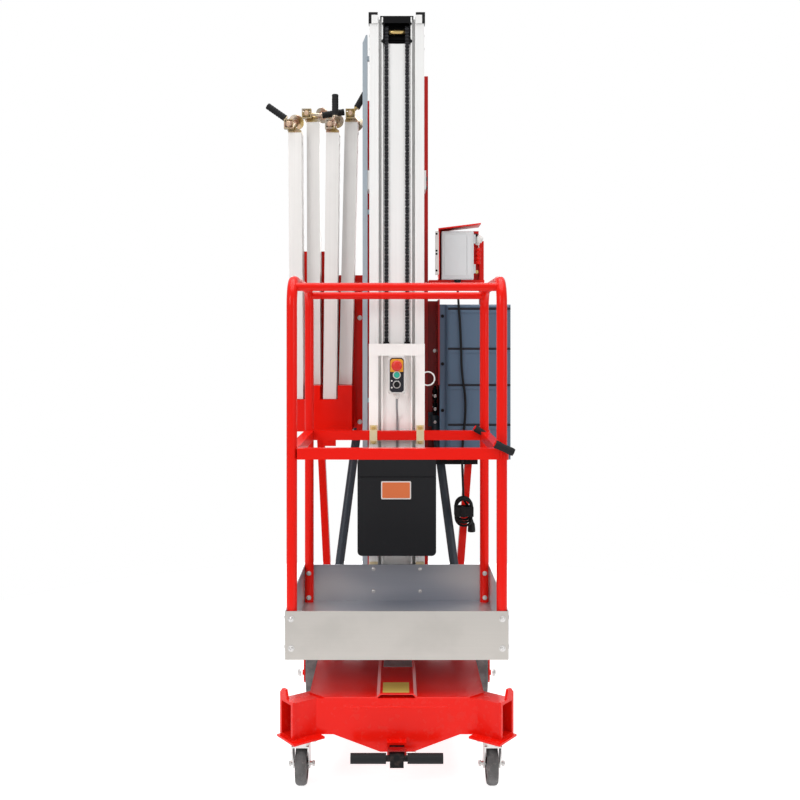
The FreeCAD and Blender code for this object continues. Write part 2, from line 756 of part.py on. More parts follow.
def cage_left():
    """Left hoop with its middle rail."""
    half = MID_RAIL / 2
    x0, x1 = -POST_X - half, -POST_X + half
    z0, z1 = MID_RAIL_Z - half, MID_RAIL_Z + half
    inset = POST_RADIUS / 2
    rail = tube_box(x0, x1, POST_FRONT + inset, POST_REAR - inset, z0, z1, POST_WALL, "y")
    cut = rail.cut(along_wire(hoop_wire(1), POST_RADIUS - POST_WALL / 2))
    middle = max(cut.Solids, key=lambda s: s.Volume)
    return join([hoop_tube(), middle])


def cage_right():
    """Right hoop. Its middle rail is the entry bar."""
    return mirror_x(hoop_tube())


def cage_rails():
    """Top and middle rails across the front and the rear, between the hoops."""
    rise = TOP_RAIL_Z - (HOOP_CENTRE_Z - HOOP_BEND)
    inset = HOOP_BEND - math.sqrt(HOOP_BEND ** 2 - rise ** 2)
    half = MID_RAIL / 2
    z0, z1 = MID_RAIL_Z - half, MID_RAIL_Z + half
    room = hoop_room()
    rails = []
    for y in (POST_FRONT + inset, POST_REAR - inset):
        ends = ((-POST_X, y, TOP_RAIL_Z), (POST_X, y, TOP_RAIL_Z))
        bar = rod(*ends, TOP_RAIL_RADIUS).cut(rod(*ends, TOP_RAIL_RADIUS - POST_WALL))
        rails.append(max(bar.cut(room).Solids, key=lambda s: s.Volume))
    start = -POST_X + half + SLIDE_FIT
    end = POST_X - POST_RADIUS / 2
    for y in (POST_FRONT, POST_REAR):
        bar = tube_box(start, end, y - half, y + half, z0, z1, POST_WALL, "x")
        rails.append(max(bar.cut(room).Solids, key=lambda s: s.Volume))
    return group(rails)


def platform_floor():
    """Floor sheet notched round the posts, on a frame of rectangular tubes."""
    edge = POST_X + POST_RADIUS
    rear = CARRIAGE_FRONT
    low = FRAME_BOTTOM
    top = FLOOR_BOTTOM
    inner = edge - FRAME_TUBE
    middle = FRAME_TUBE / 2
    wall = POST_WALL
    front = CAGE_FRONT + FRAME_SETBACK
    sheet = box(-edge, edge, CAGE_FRONT, BOARD_REAR_FACE, FLOOR_BOTTOM, FLOOR_TOP)
    side = tube_box(inner, edge, front, rear, low, top, wall, "y")
    tubes = [tube_box(-middle, middle, front, rear, low, top, wall, "y"), side, mirror_x(side)]
    for y0 in (front, rear - FRAME_TUBE):
        for x0, x1 in ((-inner, -middle), (middle, inner)):
            tubes.append(tube_box(x0, x1, y0, y0 + FRAME_TUBE, low, top, wall, "x"))
    floor = join([sheet] + tubes).cut(hoop_room())
    return max(floor.Solids, key=lambda s: s.Volume)


def toe_board_front():
    """Front toe board outside the front posts."""
    rear = CAGE_FRONT - SLIDE_FIT
    half = POST_X + POST_RADIUS + 2.0
    return box(-half, half, rear - BOARD_THICKNESS, rear, BOARD_BOTTOM, BOARD_TOP)


def toe_boards_inner():
    """Side toe boards outside the posts, and the rear one between the rear posts."""
    x0 = POST_X + POST_RADIUS + SLIDE_FIT
    x1 = x0 + BOARD_THICKNESS
    sides = both(x0, x1, CAGE_FRONT, CARRIAGE_FRONT, BOARD_BOTTOM, BOARD_TOP)
    front = BOARD_REAR_FACE - BOARD_THICKNESS
    rear = box(-POST_X, POST_X, front, BOARD_REAR_FACE, FLOOR_TOP, BOARD_TOP).cut(hoop_room())
    return group(sides + [max(rear.Solids, key=lambda s: s.Volume)])


def toolbox_outline(wall):
    """The tool box's rounded outline, or its inside when a wall is given."""
    half = TOOLBOX_WIDTH / 2 - wall
    y0, y1 = TOOLBOX_FRONT + wall, TOOLBOX_REAR - wall
    z0, z1 = TOOLBOX_BOTTOM + wall, TOOLBOX_TOP - wall
    return rounded_box(-half, half, y0, y1, z0, z1, TOOLBOX_CORNER - wall)


def toolbox_slice(z0, z1):
    """Everything in the tool box's outline between two heights."""
    half = TOOLBOX_WIDTH / 2 + 1
    return box(-half, half, TOOLBOX_FRONT - 1, TOOLBOX_REAR + 1, z0, z1)


def toolbox():
    """Lower part of the tool box, open at the top, on two pads against the carriage."""
    shell = toolbox_outline(0).cut(toolbox_outline(TOOLBOX_WALL))
    above = toolbox_slice(TOOLBOX_SPLIT, TOOLBOX_TOP + 1)
    half = LID_STRAP / 2
    x0, x1 = LIP_MIDDLE - half, LIP_MIDDLE + half
    z0 = TOOLBOX_BOTTOM + 40
    body = join([shell.cut(above)] + both(x0, x1, TOOLBOX_REAR, CARRIAGE_FRONT, z0, TOOLBOX_SPLIT))
    axis = (TOOLBOX_REAR, TOOLBOX_TOP)
    pin = LID_STRAP / 2 + LID_GAP / 2 + LID_KNUCKLE
    pieces = [body]
    for x in (-LIP_MIDDLE, LIP_MIDDLE):
        front = TOOLBOX_REAR + SLIDE_FIT
        pieces.append(box(x - half, x + half, front, CARRIAGE_FRONT, TOOLBOX_SPLIT - 20.0, TOOLBOX_TOP))
        pieces.append(rod((x - half, *axis), (x + half, *axis), LID_KNUCKLE_RADIUS))
        pieces.append(rod((x - pin, *axis), (x + pin, *axis), LID_PIN))
    return join(pieces)


def toolbox_lid():
    """Upper part of the tool box, hinged along its top rear edge."""
    shell = toolbox_outline(0).cut(toolbox_outline(TOOLBOX_WALL))
    shell = shell.cut(toolbox_slice(TOOLBOX_BOTTOM - 1, TOOLBOX_SPLIT + LID_GAP))
    axis = (TOOLBOX_REAR, TOOLBOX_TOP)
    inner = (LID_STRAP + LID_GAP) / 2
    outer = inner + LID_KNUCKLE
    pieces = [shell]
    cuts = []
    for x in (-LIP_MIDDLE, LIP_MIDDLE):
        cuts.append(rod((x - inner, *axis), (x + inner, *axis), LID_KNUCKLE_RADIUS + LID_GAP / 2))
        cuts.append(rod((x - outer - 1, *axis), (x + outer + 1, *axis), LID_PIN + AXLE_RUNNING))
        for x0, x1 in ((x - outer, x - inner), (x + inner, x + outer)):
            pieces.append(rod((x0, *axis), (x1, *axis), LID_KNUCKLE_RADIUS))
    return join(pieces).cut(cuts)


def entry_bar():
    """Lift-up middle bar on the right, guided on the posts by half sleeves, with two grips."""
    x = POST_X
    half = ENTRY_BAR_SIZE / 2
    reach = MID_RAIL / 2 + ENTRY_END_GAP
    room = POST_RADIUS + ENTRY_CLEARANCE
    outer = room + ENTRY_SLEEVE_WALL
    low = MID_RAIL_Z - ENTRY_SLEEVE_HEIGHT / 2
    high = MID_RAIL_Z + ENTRY_SLEEVE_HEIGHT / 2
    y0, y1 = POST_FRONT + reach, POST_REAR - reach
    pieces = [box(x - half, x + half, y0, y1, MID_RAIL_Z - half, MID_RAIL_Z + half)]
    for y in (POST_FRONT, POST_REAR):
        sleeve = rod((x, y, low), (x, y, high), outer)
        pieces.append(sleeve.cut(box(x - outer, x + 2.0, y - outer, y + outer, low, high)))
    for item in GRIPS:
        (ix, iz), (ox, oz) = item["inner"], item["outer"]
        pieces.append(rod((ix, item["y"], iz), (ox, item["y"], oz), GRIP_RADIUS))
    stub_x = x + GRIP_STUB["across"]
    stub_z = MID_RAIL_Z + GRIP_STUB["above"]
    stub = ((stub_x, GRIPS[0]["y"], stub_z), (stub_x, POST_FRONT - POST_RADIUS / 2, stub_z))
    pieces.append(rod(*stub, GRIP_STUB["radius"]))
    posts = [rod((x, y, low - 9), (x, y, high + 40), room) for y in (POST_FRONT, POST_REAR)]
    return join(pieces).cut(posts)


# Base

def socket_placement(side, end):
    """A socket's mouth centre, turned so that its own +X points out of the mouth."""
    forward = -1 if end == "front" else 1
    lean = math.radians(SOCKET_ANGLE)
    heading = math.degrees(math.atan2(forward * math.sin(lean), side * math.cos(lean)))
    middle = (SOCKET_BOTTOM + RAIL_TOP) / 2
    mouth = vec(side * SOCKET_MOUTH_X, SOCKET_MOUTH_Y[end], middle)
    return FreeCAD.Placement(mouth, FreeCAD.Rotation(vec(0, 0, 1), heading))


def socket_rooms():
    """The spaces that the four sockets take out of the frame."""
    half = (RAIL_TOP - SOCKET_BOTTOM) / 2
    rooms = []
    for side in (-1, 1):
        for end in ("front", "rear"):
            room = box(-SOCKET_LENGTH, 0, -SOCKET_WIDTH / 2, SOCKET_WIDTH / 2, -half, half)
            room.Placement = socket_placement(side, end)
            rooms.append(room)
    return rooms


def outrigger_socket(side, end):
    """Rectangular socket with a collar round its mouth and a raised ear on the outer side."""
    half_w = SOCKET_WIDTH / 2
    half_h = (RAIL_TOP - SOCKET_BOTTOM) / 2
    wall = SOCKET_WALL
    outward = side if end == "front" else -side
    top = half_h + COLLAR_RIM
    edge = half_w + COLLAR_RIM
    ear_top = top + COLLAR_EAR
    ear = [
        (-edge * 0.1, top), (edge, top), (edge, ear_top - COLLAR_SLOPE),
        (edge - COLLAR_SLOPE, ear_top), (edge * 0.15, ear_top),
    ]
    pieces = [
        box(-SOCKET_LENGTH, 0, -half_w, half_w, -half_h, half_h),
        box(-COLLAR_THICKNESS, 0, -edge, edge, -half_h, top),
        prism_x([(outward * y, z) for y, z in ear], -COLLAR_THICKNESS, 0),
    ]
    bore_w, bore_h = half_w - wall, half_h - wall
    socket = join(pieces).cut(box(-SOCKET_LENGTH - 1, 1, -bore_w, bore_w, -bore_h, bore_h))
    socket.Placement = socket_placement(side, end)
    return socket


def outrigger_sockets():
    """The four sockets at the corners of the base."""
    return group([outrigger_socket(side, end) for side in (-1, 1) for end in ("front", "rear")])


def guide_box(grow, y0, y1):
    """The towing handle's guide bore, grown outwards."""
    half = DRAWBAR_SIZE / 2 + DRAWBAR_CLEARANCE + grow
    low = DRAWBAR_Z - DRAWBAR_SIZE / 2 - SLIDE_FIT - grow
    return box(-half, half, y0, y1, low, DRAWBAR_Z + half)


def base_frame():
    """Welded frame: side rails, shaped nose plate, beams, foot plate and handle guide."""
    low, high = RAIL_BOTTOM, RAIL_TOP
    inner, outer = RAIL_INNER, RAIL_OUTER
    nose_rear = BASE_FRONT + NOSE_PLATE
    guide_half = DRAWBAR_SIZE / 2 + DRAWBAR_CLEARANCE + GUIDE_WALL
    rail = tube_box(inner, outer, nose_rear, BASE_REAR, low, high, RAIL_WALL, "y")
    nose = prism_y(
        [
            (-NOSE_HALF, NOSE_BOTTOM), (-NOSE_FLAT_HALF, NOSE_BOTTOM), (-NOSE_TIP_HALF, NOSE_TIP),
            (NOSE_TIP_HALF, NOSE_TIP), (NOSE_FLAT_HALF, NOSE_BOTTOM), (NOSE_HALF, NOSE_BOTTOM),
            (NOSE_HALF, high), (-NOSE_HALF, high),
        ],
        BASE_FRONT, nose_rear,
    )
    beams_rear = BASE_REAR - RAIL_WIDTH
    pieces = [rail, mirror_x(rail), nose]
    for y in (nose_rear, CROSS_PLACES[0], CROSS_PLACES[1], beams_rear):
        pieces.append(tube_box(-inner, inner, y, y + RAIL_WIDTH, low, high, RAIL_WALL, "x"))
    pieces.append(box(-inner, inner, FOOT_PLATE_FRONT, beams_rear, low, low + FOOT_PLATE))
    frame = join(pieces).cut(socket_rooms())
    bridge_rear = CROSS_PLACES[0] + RAIL_WIDTH
    guide_top = DRAWBAR_Z + guide_half
    extras = [
        guide_box(GUIDE_WALL, GUIDE_FRONT, GUIDE_REAR),
        box(-guide_half, guide_half, bridge_rear - GUIDE_BRIDGE, bridge_rear, guide_top, low),
    ]
    body = join([frame] + extras + foot_pads() + caster_pads())
    return body.cut(guide_box(0, GUIDE_FRONT - 1, GUIDE_REAR + 1))


def foot_pads():
    """Plates on the side rails that carry the braces and the legs."""
    p = FOOT_PAD
    top = RAIL_TOP + p["thickness"]
    return both(p["inner"], p["outer"], p["front"], p["rear"], RAIL_TOP, top)


def turned_plate(side, size, z0, z1):
    """A plate over a caster's swivel axis, turned with the socket above it."""
    along, across = size
    plate = box(-along / 2, along / 2, -across / 2, across / 2, z0, z1)
    turn = FreeCAD.Rotation(vec(0, 0, 1), -side * SOCKET_ANGLE)
    plate.Placement = FreeCAD.Placement(vec(side * CASTER_X, CASTER_Y, 0), turn)
    return plate


def caster_pads():
    """Plates under the front sockets that the casters bolt to."""
    return [turned_plate(s, CASTER_PAD, CASTER_PAD_BOTTOM, SOCKET_BOTTOM) for s in (-1, 1)]


def caster_plates():
    """The casters' own fixed top plates."""
    low, high = CASTER_PLATE_BOTTOM, CASTER_PAD_BOTTOM
    return group([turned_plate(s, CASTER_PLATE, low, high) for s in (-1, 1)])


def ballast_block():
    """Heavy block under the deck that keeps the machine's balance point ahead of its wheels."""
    b = BALLAST
    return box(-b["half"], b["half"], b["front"], b["rear"], b["bottom"], b["top"])


def base_deck():
    """Deck sheet with chamfered front corners and a low raised channel along its middle."""
    z0 = RAIL_TOP
    z1 = z0 + DECK_SHEET
    edge = TUNNEL_HALF
    flat = prism_z(
        [
            (-DECK_HALF, DECK_REAR), (-DECK_HALF, DECK_CHAMFER_Y), (-DECK_CHAMFER_X, BASE_FRONT),
            (DECK_CHAMFER_X, BASE_FRONT), (DECK_HALF, DECK_CHAMFER_Y), (DECK_HALF, DECK_REAR),
        ],
        z0, z1,
    )
    flat = flat.cut(box(-edge, edge, BASE_FRONT, DECK_REAR, z0, z1))
    top = edge - TUNNEL_FLANK
    rise = TUNNEL_RISE
    slim = DECK_SHEET * 0.6
    channel = prism_y(
        [
            (-edge, z0), (-edge, z1), (-top, z1 + rise), (top, z1 + rise), (edge, z1), (edge, z0),
            (edge - slim, z0), (top - slim, z0 + rise), (-top + slim, z0 + rise), (-edge + slim, z0),
        ],
        BASE_FRONT, DECK_REAR,
    )
    return join([flat, channel])


def drawbar():
    """Towing handle: square tube with a cross rod near its front end."""
    half = DRAWBAR_SIZE / 2
    front = DRAWBAR_FRONT
    z0, z1 = DRAWBAR_Z - half, DRAWBAR_Z + half
    tube = tube_box(-half, half, front, front + DRAWBAR_LENGTH, z0, z1, DRAWBAR_WALL, "y")
    cap = box(-half, half, front, front + DRAWBAR_WALL, z0, z1)
    y = front + HANDLE_SETBACK
    span = HANDLE_SPAN / 2
    return join([tube, cap, rod((-span, y, HANDLE_Z), (span, y, HANDLE_Z), HANDLE_ROD_RADIUS)])


def handle_grips():
    """Rubber grips on the towing handle's cross rod."""
    y = DRAWBAR_FRONT + HANDLE_SETBACK
    span = HANDLE_SPAN / 2
    near = span - HANDLE_GRIP_LENGTH
    outer = rod((near, y, HANDLE_Z), (span + 2.0, y, HANDLE_Z), HANDLE_GRIP_RADIUS)
    bore = rod((near - 1, y, HANDLE_Z), (span + 0.1, y, HANDLE_Z), HANDLE_ROD_RADIUS + 0.1)
    grip = outer.cut(bore)
    return group([grip, mirror_x(grip)])


# Wheels

def turned_wheel(profile, centre):
    """A solid of revolution about an axle along X, from (x, radius) points."""
    corners = [vec(x, centre.y, centre.z + r) for x, r in profile]
    face = Part.Face(Part.makePolygon(corners + corners[:1]))
    return face.revolve(vec(0, centre.y, centre.z), vec(1, 0, 0), 360)


def main_tyre(side):
    """Solid tyre of a main wheel."""
    x0 = WHEEL_INNER_X
    x1 = x0 + WHEEL_WIDTH
    r = WHEEL_RADIUS
    shoulder = 6.0
    profile = [
        (x0 + 3.0, RIM_RADIUS), (x0, RIM_RADIUS + 4.0), (x0, r - shoulder), (x0 + 2.0, r - 2.0),
        (x0 + shoulder, r), (x1 - shoulder, r), (x1 - 2.0, r - 2.0), (x1, r - shoulder),
        (x1, RIM_RADIUS + 4.0), (x1 - 3.0, RIM_RADIUS),
    ]
    tyre = turned_wheel(profile, vec(0, WHEEL_Y, WHEEL_RADIUS))
    return tyre if side > 0 else mirror_x(tyre)


def main_rim(side):
    """Wheel centre: hub, web and rim."""
    x0 = WHEEL_INNER_X
    x1 = x0 + WHEEL_WIDTH
    middle = (x0 + x1) / 2
    bore = WHEEL_AXLE_RADIUS + AXLE_RUNNING
    hub = 20.0
    web = 5.0
    seat = RIM_RADIUS - SLIDE_FIT
    profile = [
        (x0 - 2.0, bore), (x0 - 2.0, hub), (middle - web, hub + 6.0), (middle - web, seat - 8.0),
        (x0 + 4.0, seat - 4.0), (x0 + 4.0, seat), (x1 - 4.0, seat), (x1 - 4.0, seat - 4.0),
        (middle + web, seat - 8.0), (middle + web, hub + 6.0), (x1 + 2.0, hub), (x1 + 2.0, bore),
    ]
    rim = turned_wheel(profile, vec(0, WHEEL_Y, WHEEL_RADIUS))
    return rim if side > 0 else mirror_x(rim)


def wheel_brackets():
    """Fork plates, top plate and axle of each main wheel, welded to the side rails."""
    inner = WHEEL_INNER_X - WHEEL_SIDE_GAP - WHEEL_PLATE
    outer = WHEEL_OUTER_PLATE
    top = 2 * WHEEL_RADIUS + WHEEL_TOP_GAP
    y0, y1 = WHEEL_Y - WHEEL_PLATE_HALF, WHEEL_Y + WHEEL_PLATE_HALF
    pieces = [box(RAIL_OUTER, outer + WHEEL_PLATE, y0, y1, top, top + WHEEL_PLATE)]
    foot = WHEEL_RADIUS - WHEEL_PLATE_DROP
    corner = 14.0
    side = [
        (y0, foot + corner), (y0 + corner, foot), (y1 - corner, foot), (y1, foot + corner),
        (y1, top), (y0, top),
    ]
    for x in (inner, outer):
        pieces.append(prism_x(side, x, x + WHEEL_PLATE))
    start = (inner - 7.0, WHEEL_Y, WHEEL_RADIUS)
    end = (outer + WHEEL_PLATE + 7.0, WHEEL_Y, WHEEL_RADIUS)
    pieces.append(rod(start, end, WHEEL_AXLE_RADIUS))
    bracket = join(pieces)
    return group([bracket, mirror_x(bracket)])


def caster_fork(side):
    """Swivel race and fork, with the axle through it."""
    top = CASTER_PLATE_BOTTOM - SLIDE_FIT
    inner = CASTER_WHEEL_WIDTH / 2 + CASTER_FORK_GAP
    outer = inner + CASTER_FORK_SHEET
    crown = CASTER_WHEEL_RADIUS * 2 + CASTER_CROWN_GAP
    crown_top = crown + CASTER_FORK_SHEET
    axle = CASTER_WHEEL_RADIUS
    trail = CASTER_TRAIL
    leg = prism_x(
        [
            (-24.0, crown_top), (36.0, crown_top), (trail + 17.0, axle), (trail + 11.0, axle - 12.0),
            (trail - 9.0, axle - 12.0), (trail - 17.0, axle + 2.0), (-24.0, crown - 12.0),
        ],
        inner, outer,
    )
    pieces = [
        leg,
        mirror_x(leg),
        box(-outer, outer, -24.0, 36.0, crown, crown_top),
        rod((0, 0, crown_top), (0, 0, top), CASTER_RACE_RADIUS),
        rod((-outer - 6.0, trail, axle), (outer + 6.0, trail, axle), CASTER_AXLE_RADIUS),
    ]
    fork = join(pieces)
    fork.translate(vec(side * CASTER_X, CASTER_Y, 0))
    return fork


def caster_wheel(side):
    """Caster wheel with a rounded tread and recessed sides."""
    half = CASTER_WHEEL_WIDTH / 2
    r = CASTER_WHEEL_RADIUS
    bore = CASTER_AXLE_RADIUS + AXLE_RUNNING
    left = [
        (-half, bore), (-half, 16.0), (-half + 5.0, 20.0), (-half + 5.0, r - 17.0),
        (-half + 1.0, r - 13.0), (-half + 2.0, r - 5.0), (-half + 7.0, r - 1.0), (-half + 12.0, r),
    ]
    right = [(-x, radius) for x, radius in reversed(left)]
    wheel = turned_wheel(left + right, vec(0, CASTER_TRAIL, CASTER_WHEEL_RADIUS))
    wheel.translate(vec(side * CASTER_X, CASTER_Y, 0))
    return wheel


# Rear column, braces and rack

def rear_column():
    """Steel channel behind the fixed section, standing on the foot plate."""
    x = COLUMN_HALF
    y = COLUMN_FRONT
    sheet = COLUMN_SHEET
    pieces = [box(-x, x, y, y + sheet, FIXED_BOTTOM, COLUMN_TOP)]
    pieces += both(x - sheet, x, y, y + COLUMN_DEPTH, RAIL_TOP, COLUMN_TOP)
    pieces += both(x - sheet, x, y, BASE_REAR - RAIL_WIDTH, FIXED_BOTTOM, RAIL_TOP)
    pieces.append(box(HALF_WIDTH - LIP_WIDTH, x, y, y + sheet, COLUMN_TOP, COLUMN_EAR_TOP))
    return join(pieces)


def guide_straps():
    """White side plates that keep the sections in line, fixed to the rear section."""
    x0, x1 = STRAP_INNER, STRAP_INNER + STRAP_THICKNESS
    low, high = STRAP_BOTTOM, STRAP_TOP
    plate = box(x0, x1, STRAP_FRONT, COLUMN_FRONT, low, high)
    spacer = box(HALF_WIDTH, x0, FIXED_SECTION_Y + 10.0, COLUMN_FRONT - 10.0, low, high)
    strap = join([plate, spacer])
    return group([strap, mirror_x(strap)])


def mast_braces():
    """Round braces from the column down and out to the side rails."""
    x, y, z = BRACE_TOP
    foot_x, foot_y = BRACE_FOOT
    pad_top = RAIL_TOP + FOOT_PAD["thickness"]
    tube = rod((x, y, z), (foot_x, foot_y, pad_top - 40.0), BRACE_RADIUS)
    tube = tube.cut(box(foot_x - 90, foot_x + 90, foot_y - 90, foot_y + 90, pad_top - 90.0, pad_top))
    lug = box(COLUMN_HALF, x + 6.0, y + 4.0, SIDE_PANEL_Y, z - 42.0, z + 14.0)
    brace = join([tube.cut(box(x - 90, COLUMN_HALF, y - 90, y + 90, z - 90, z + 90)), lug])
    return group([brace, mirror_x(brace)])


def slanted_leg(top, foot):
    """Rectangular tube from a top point down to a side rail's pad, as (x, z) points."""
    (tx, tz), (fx, fz) = top, foot
    solids = []
    for inset in (0.0, LEG_WALL):
        half = LEG_WIDTH / 2 - inset
        corners = [(tx - half, tz), (tx + half, tz), (fx + half, fz), (fx - half, fz)]
        solids.append(prism_y(corners, LEG_FRONT + inset, LEG_FRONT + LEG_DEPTH - inset))
    return solids[0].cut(solids[1])


def rack_bays():
    """Left and right limits of each outrigger's ledge."""
    edges = [RACK_LEFT]
    for left, right in zip(OUTRIGGERS, OUTRIGGERS[1:]):
        shift = RACK_STEP_SHIFT if right["row"] == "back" else -RACK_STEP_SHIFT
        edges.append((left["foot_x"] + right["foot_x"]) / 2 + shift)
    edges.append(RACK_RIGHT)
    return list(zip(edges, edges[1:], OUTRIGGERS))


def outrigger_rack():
    """Stepped holder for the four outriggers, its leg, and its plate to the column."""
    sheet = RACK_SHEET
    pad_top = RAIL_TOP + FOOT_PAD["thickness"]
    y0, y1 = RACK_FRONT, RACK_BACK
    low = RACK_BOTTOM
    back = prism_y(
        [
            (RACK_LEFT, low), (-COLUMN_HALF, low), (-COLUMN_HALF, RACK_LOW),
            (RACK_SPLIT, RACK_LOW), (RACK_SPLIT, RACK_HIGH), (RACK_LEFT, RACK_HIGH),
        ],
        y1, y1 + sheet,
    )
    tab = RACK_TAB
    post = RACK_POST
    column_rear = COLUMN_FRONT + COLUMN_DEPTH
    pieces = [
        back,
        box(RACK_LEFT, RACK_RIGHT, y0, y1, low, low + sheet),
        box(tab["left"], tab["right"], y0, y0 + sheet, tab["bottom"], low),
        box(post["left"], post["right"], y1 - 8.0, y1, post["bottom"], post["top"]),
        box(-COLUMN_HALF - sheet, -COLUMN_HALF, y1, column_rear, *RACK_FLANGE),
        slanted_leg((-300.0, low), (-265.0, pad_top)),
    ]
    half_x = BEAM_WIDTH / 2 - BEAM_WALL - PEG_CLEARANCE
    half_y = BEAM_DEPTH / 2 - BEAM_WALL - PEG_CLEARANCE
    for left, right, item in rack_bays():
        ledge = LEDGE[item["row"]]
        x = item["foot_x"]
        y = ROW_Y[item["row"]]
        pieces.append(box(left, right, y0, y0 + sheet, low, ledge))
        pieces.append(box(left, right, y0, y1, ledge - sheet, ledge))
        peg = (x - half_x, x + half_x, y - half_y, y + half_y, ledge, ledge + PEG_HEIGHT)
        pieces.append(box(*peg))
    return join(pieces)


# Outriggers

def outrigger_placement(item):
    """Foot centre of a stowed outrigger, leaning as it stands."""
    lean = math.degrees(math.atan2(item["head_x"] - item["foot_x"], BEAM_LENGTH))
    foot = vec(item["foot_x"], ROW_Y[item["row"]], LEDGE[item["row"]] + OUTRIGGER_REST_GAP)
    return FreeCAD.Placement(foot, FreeCAD.Rotation(vec(0, 1, 0), lean))


def outrigger_beam(item):
    """Rectangular aluminium beam, open at its foot."""
    wide, deep = BEAM_WIDTH / 2, BEAM_DEPTH / 2
    beam = tube_box(-wide, wide, -deep, deep, 0, HEAD_BASE, BEAM_WALL, "z")
    beam.Placement = outrigger_placement(item)
    return beam


def crank(item, front):
    """Folding crank: open square box round the screw's end, with a round grip on one side."""
    half = CRANK_BOX / 2
    inner = half - CRANK_SHEET
    depth = JACK_FRONT_REACH - 6.0
    y = front + depth / 2
    bar = JACK_SCREW_RADIUS * 0.6
    x0, z0 = item["grip_from"]
    x1, z1 = item["grip_to"]
    length = math.hypot(x1 - x0, z1 - z0)
    inset = CRANK_ARM_OVERLAP / length
    shank = (x0 + (x1 - x0) * inset, y, z0 + (z1 - z0) * inset)
    body = box(-half, half, front, front + depth, -half, half)
    pieces = [
        body.cut(box(-inner, inner, front - 1, front + depth + 1, -inner, inner)),
        box(-half, half, y - 3.0, y + 3.0, -bar, bar),
        rod((x0, y, z0), (x1, y, z1), CRANK_GRIP_RADIUS),
        rod((0, y, 0), shank, CRANK_ARM_RADIUS),
    ]
    return join(pieces)


def outrigger_jack(item):
    """Screw jack across the beam's outer end: block, sleeve, screw, foot pad and crank."""
    wide, deep = BEAM_WIDTH / 2, BEAM_DEPTH / 2
    front = -deep - JACK_FRONT_REACH
    rear = deep + JACK_REAR_REACH
    foot = outrigger_placement(item)
    z = BEAM_LENGTH
    neck = item["shift"]
    web = prism_y(
        [
            (-wide, HEAD_BASE + HEAD_BLOCK), (wide, HEAD_BASE + HEAD_BLOCK),
            (neck + wide * 0.5, z), (neck - wide * 0.5, z),
        ],
        -deep + 6.0, deep - 6.0,
    )
    pieces = [box(-wide, wide, -deep, deep, HEAD_BASE, HEAD_BASE + HEAD_BLOCK), web]
    block = join(pieces)
    block.Placement = foot
    lean = math.atan2(item["head_x"] - item["foot_x"], BEAM_LENGTH)
    pad_x, pad_z = item["pad"]
    tip = vec(pad_x, rear, pad_z)
    ahead = (tip - vec(0, deep, 0)).normalize()
    neck_start = tip - ahead * 12.0
    pad_end = tip + ahead * PAD_THICKNESS
    screw = join([
        rod((0, -deep - 2.0, 0), (0, deep + 2.0, 0), JACK_SLEEVE_RADIUS),
        rod((0, front, 0), (0, deep, 0), JACK_SCREW_RADIUS),
        rod((0, deep, 0), tip, JACK_SCREW_RADIUS),
        rod(neck_start, tip, JACK_SCREW_RADIUS + 5.0),
        rod(tip, pad_end, PAD_RADIUS),
        crank(item, front),
    ])
    x = neck * math.cos(lean) + z * math.sin(lean)
    screw.translate(foot.Base + vec(x, 0, z * math.cos(lean) - neck * math.sin(lean)))
    return join([block, screw])


# Power unit and control box

def power_cover():
    """Moulded cover with grooves across its front and outer side, and a side flange."""
    x0, x1 = COVER_LEFT, COVER_RIGHT
    y0, y1 = COVER_FRONT, COVER_REAR
    z0, z1 = COVER_BOTTOM, COVER_TOP
    wall = COVER_WALL
    outer = box(x0, x1, y0, y1, z0, z1)
    edges = []
    for e in outer.Edges:
        way = e.tangentAt(e.FirstParameter)
        if e.BoundBox.YMax < y0 + 1 and abs(way.y) < 0.5:
            edges.append(e)
    outer = outer.makeFillet(COVER_CORNER, edges)
    inner = box(x0 + wall, x1 - wall, y0 + wall * 2, y1 + 1, z0 + wall, z1 - wall)
    flange_front = y0 + COVER_FLANGE_SETBACK
    flange = box(x0 - COVER_FLANGE, x0, flange_front, flange_front + wall, z0, z1)
    cuts = []
    deep = COVER_GROOVE_DEPTH
    for low in COVER_GROOVES:
        high = low + COVER_GROOVE_HEIGHT
        cuts.append(box(x0 - 1, x1 + 1, y0 - 1, y0 + deep, low, high))
        cuts.append(box(x1 - deep, x1 + 1, y0 - 1, y1 + 1, low, high))
    return join([outer.cut(inner), flange]).cut(cuts)


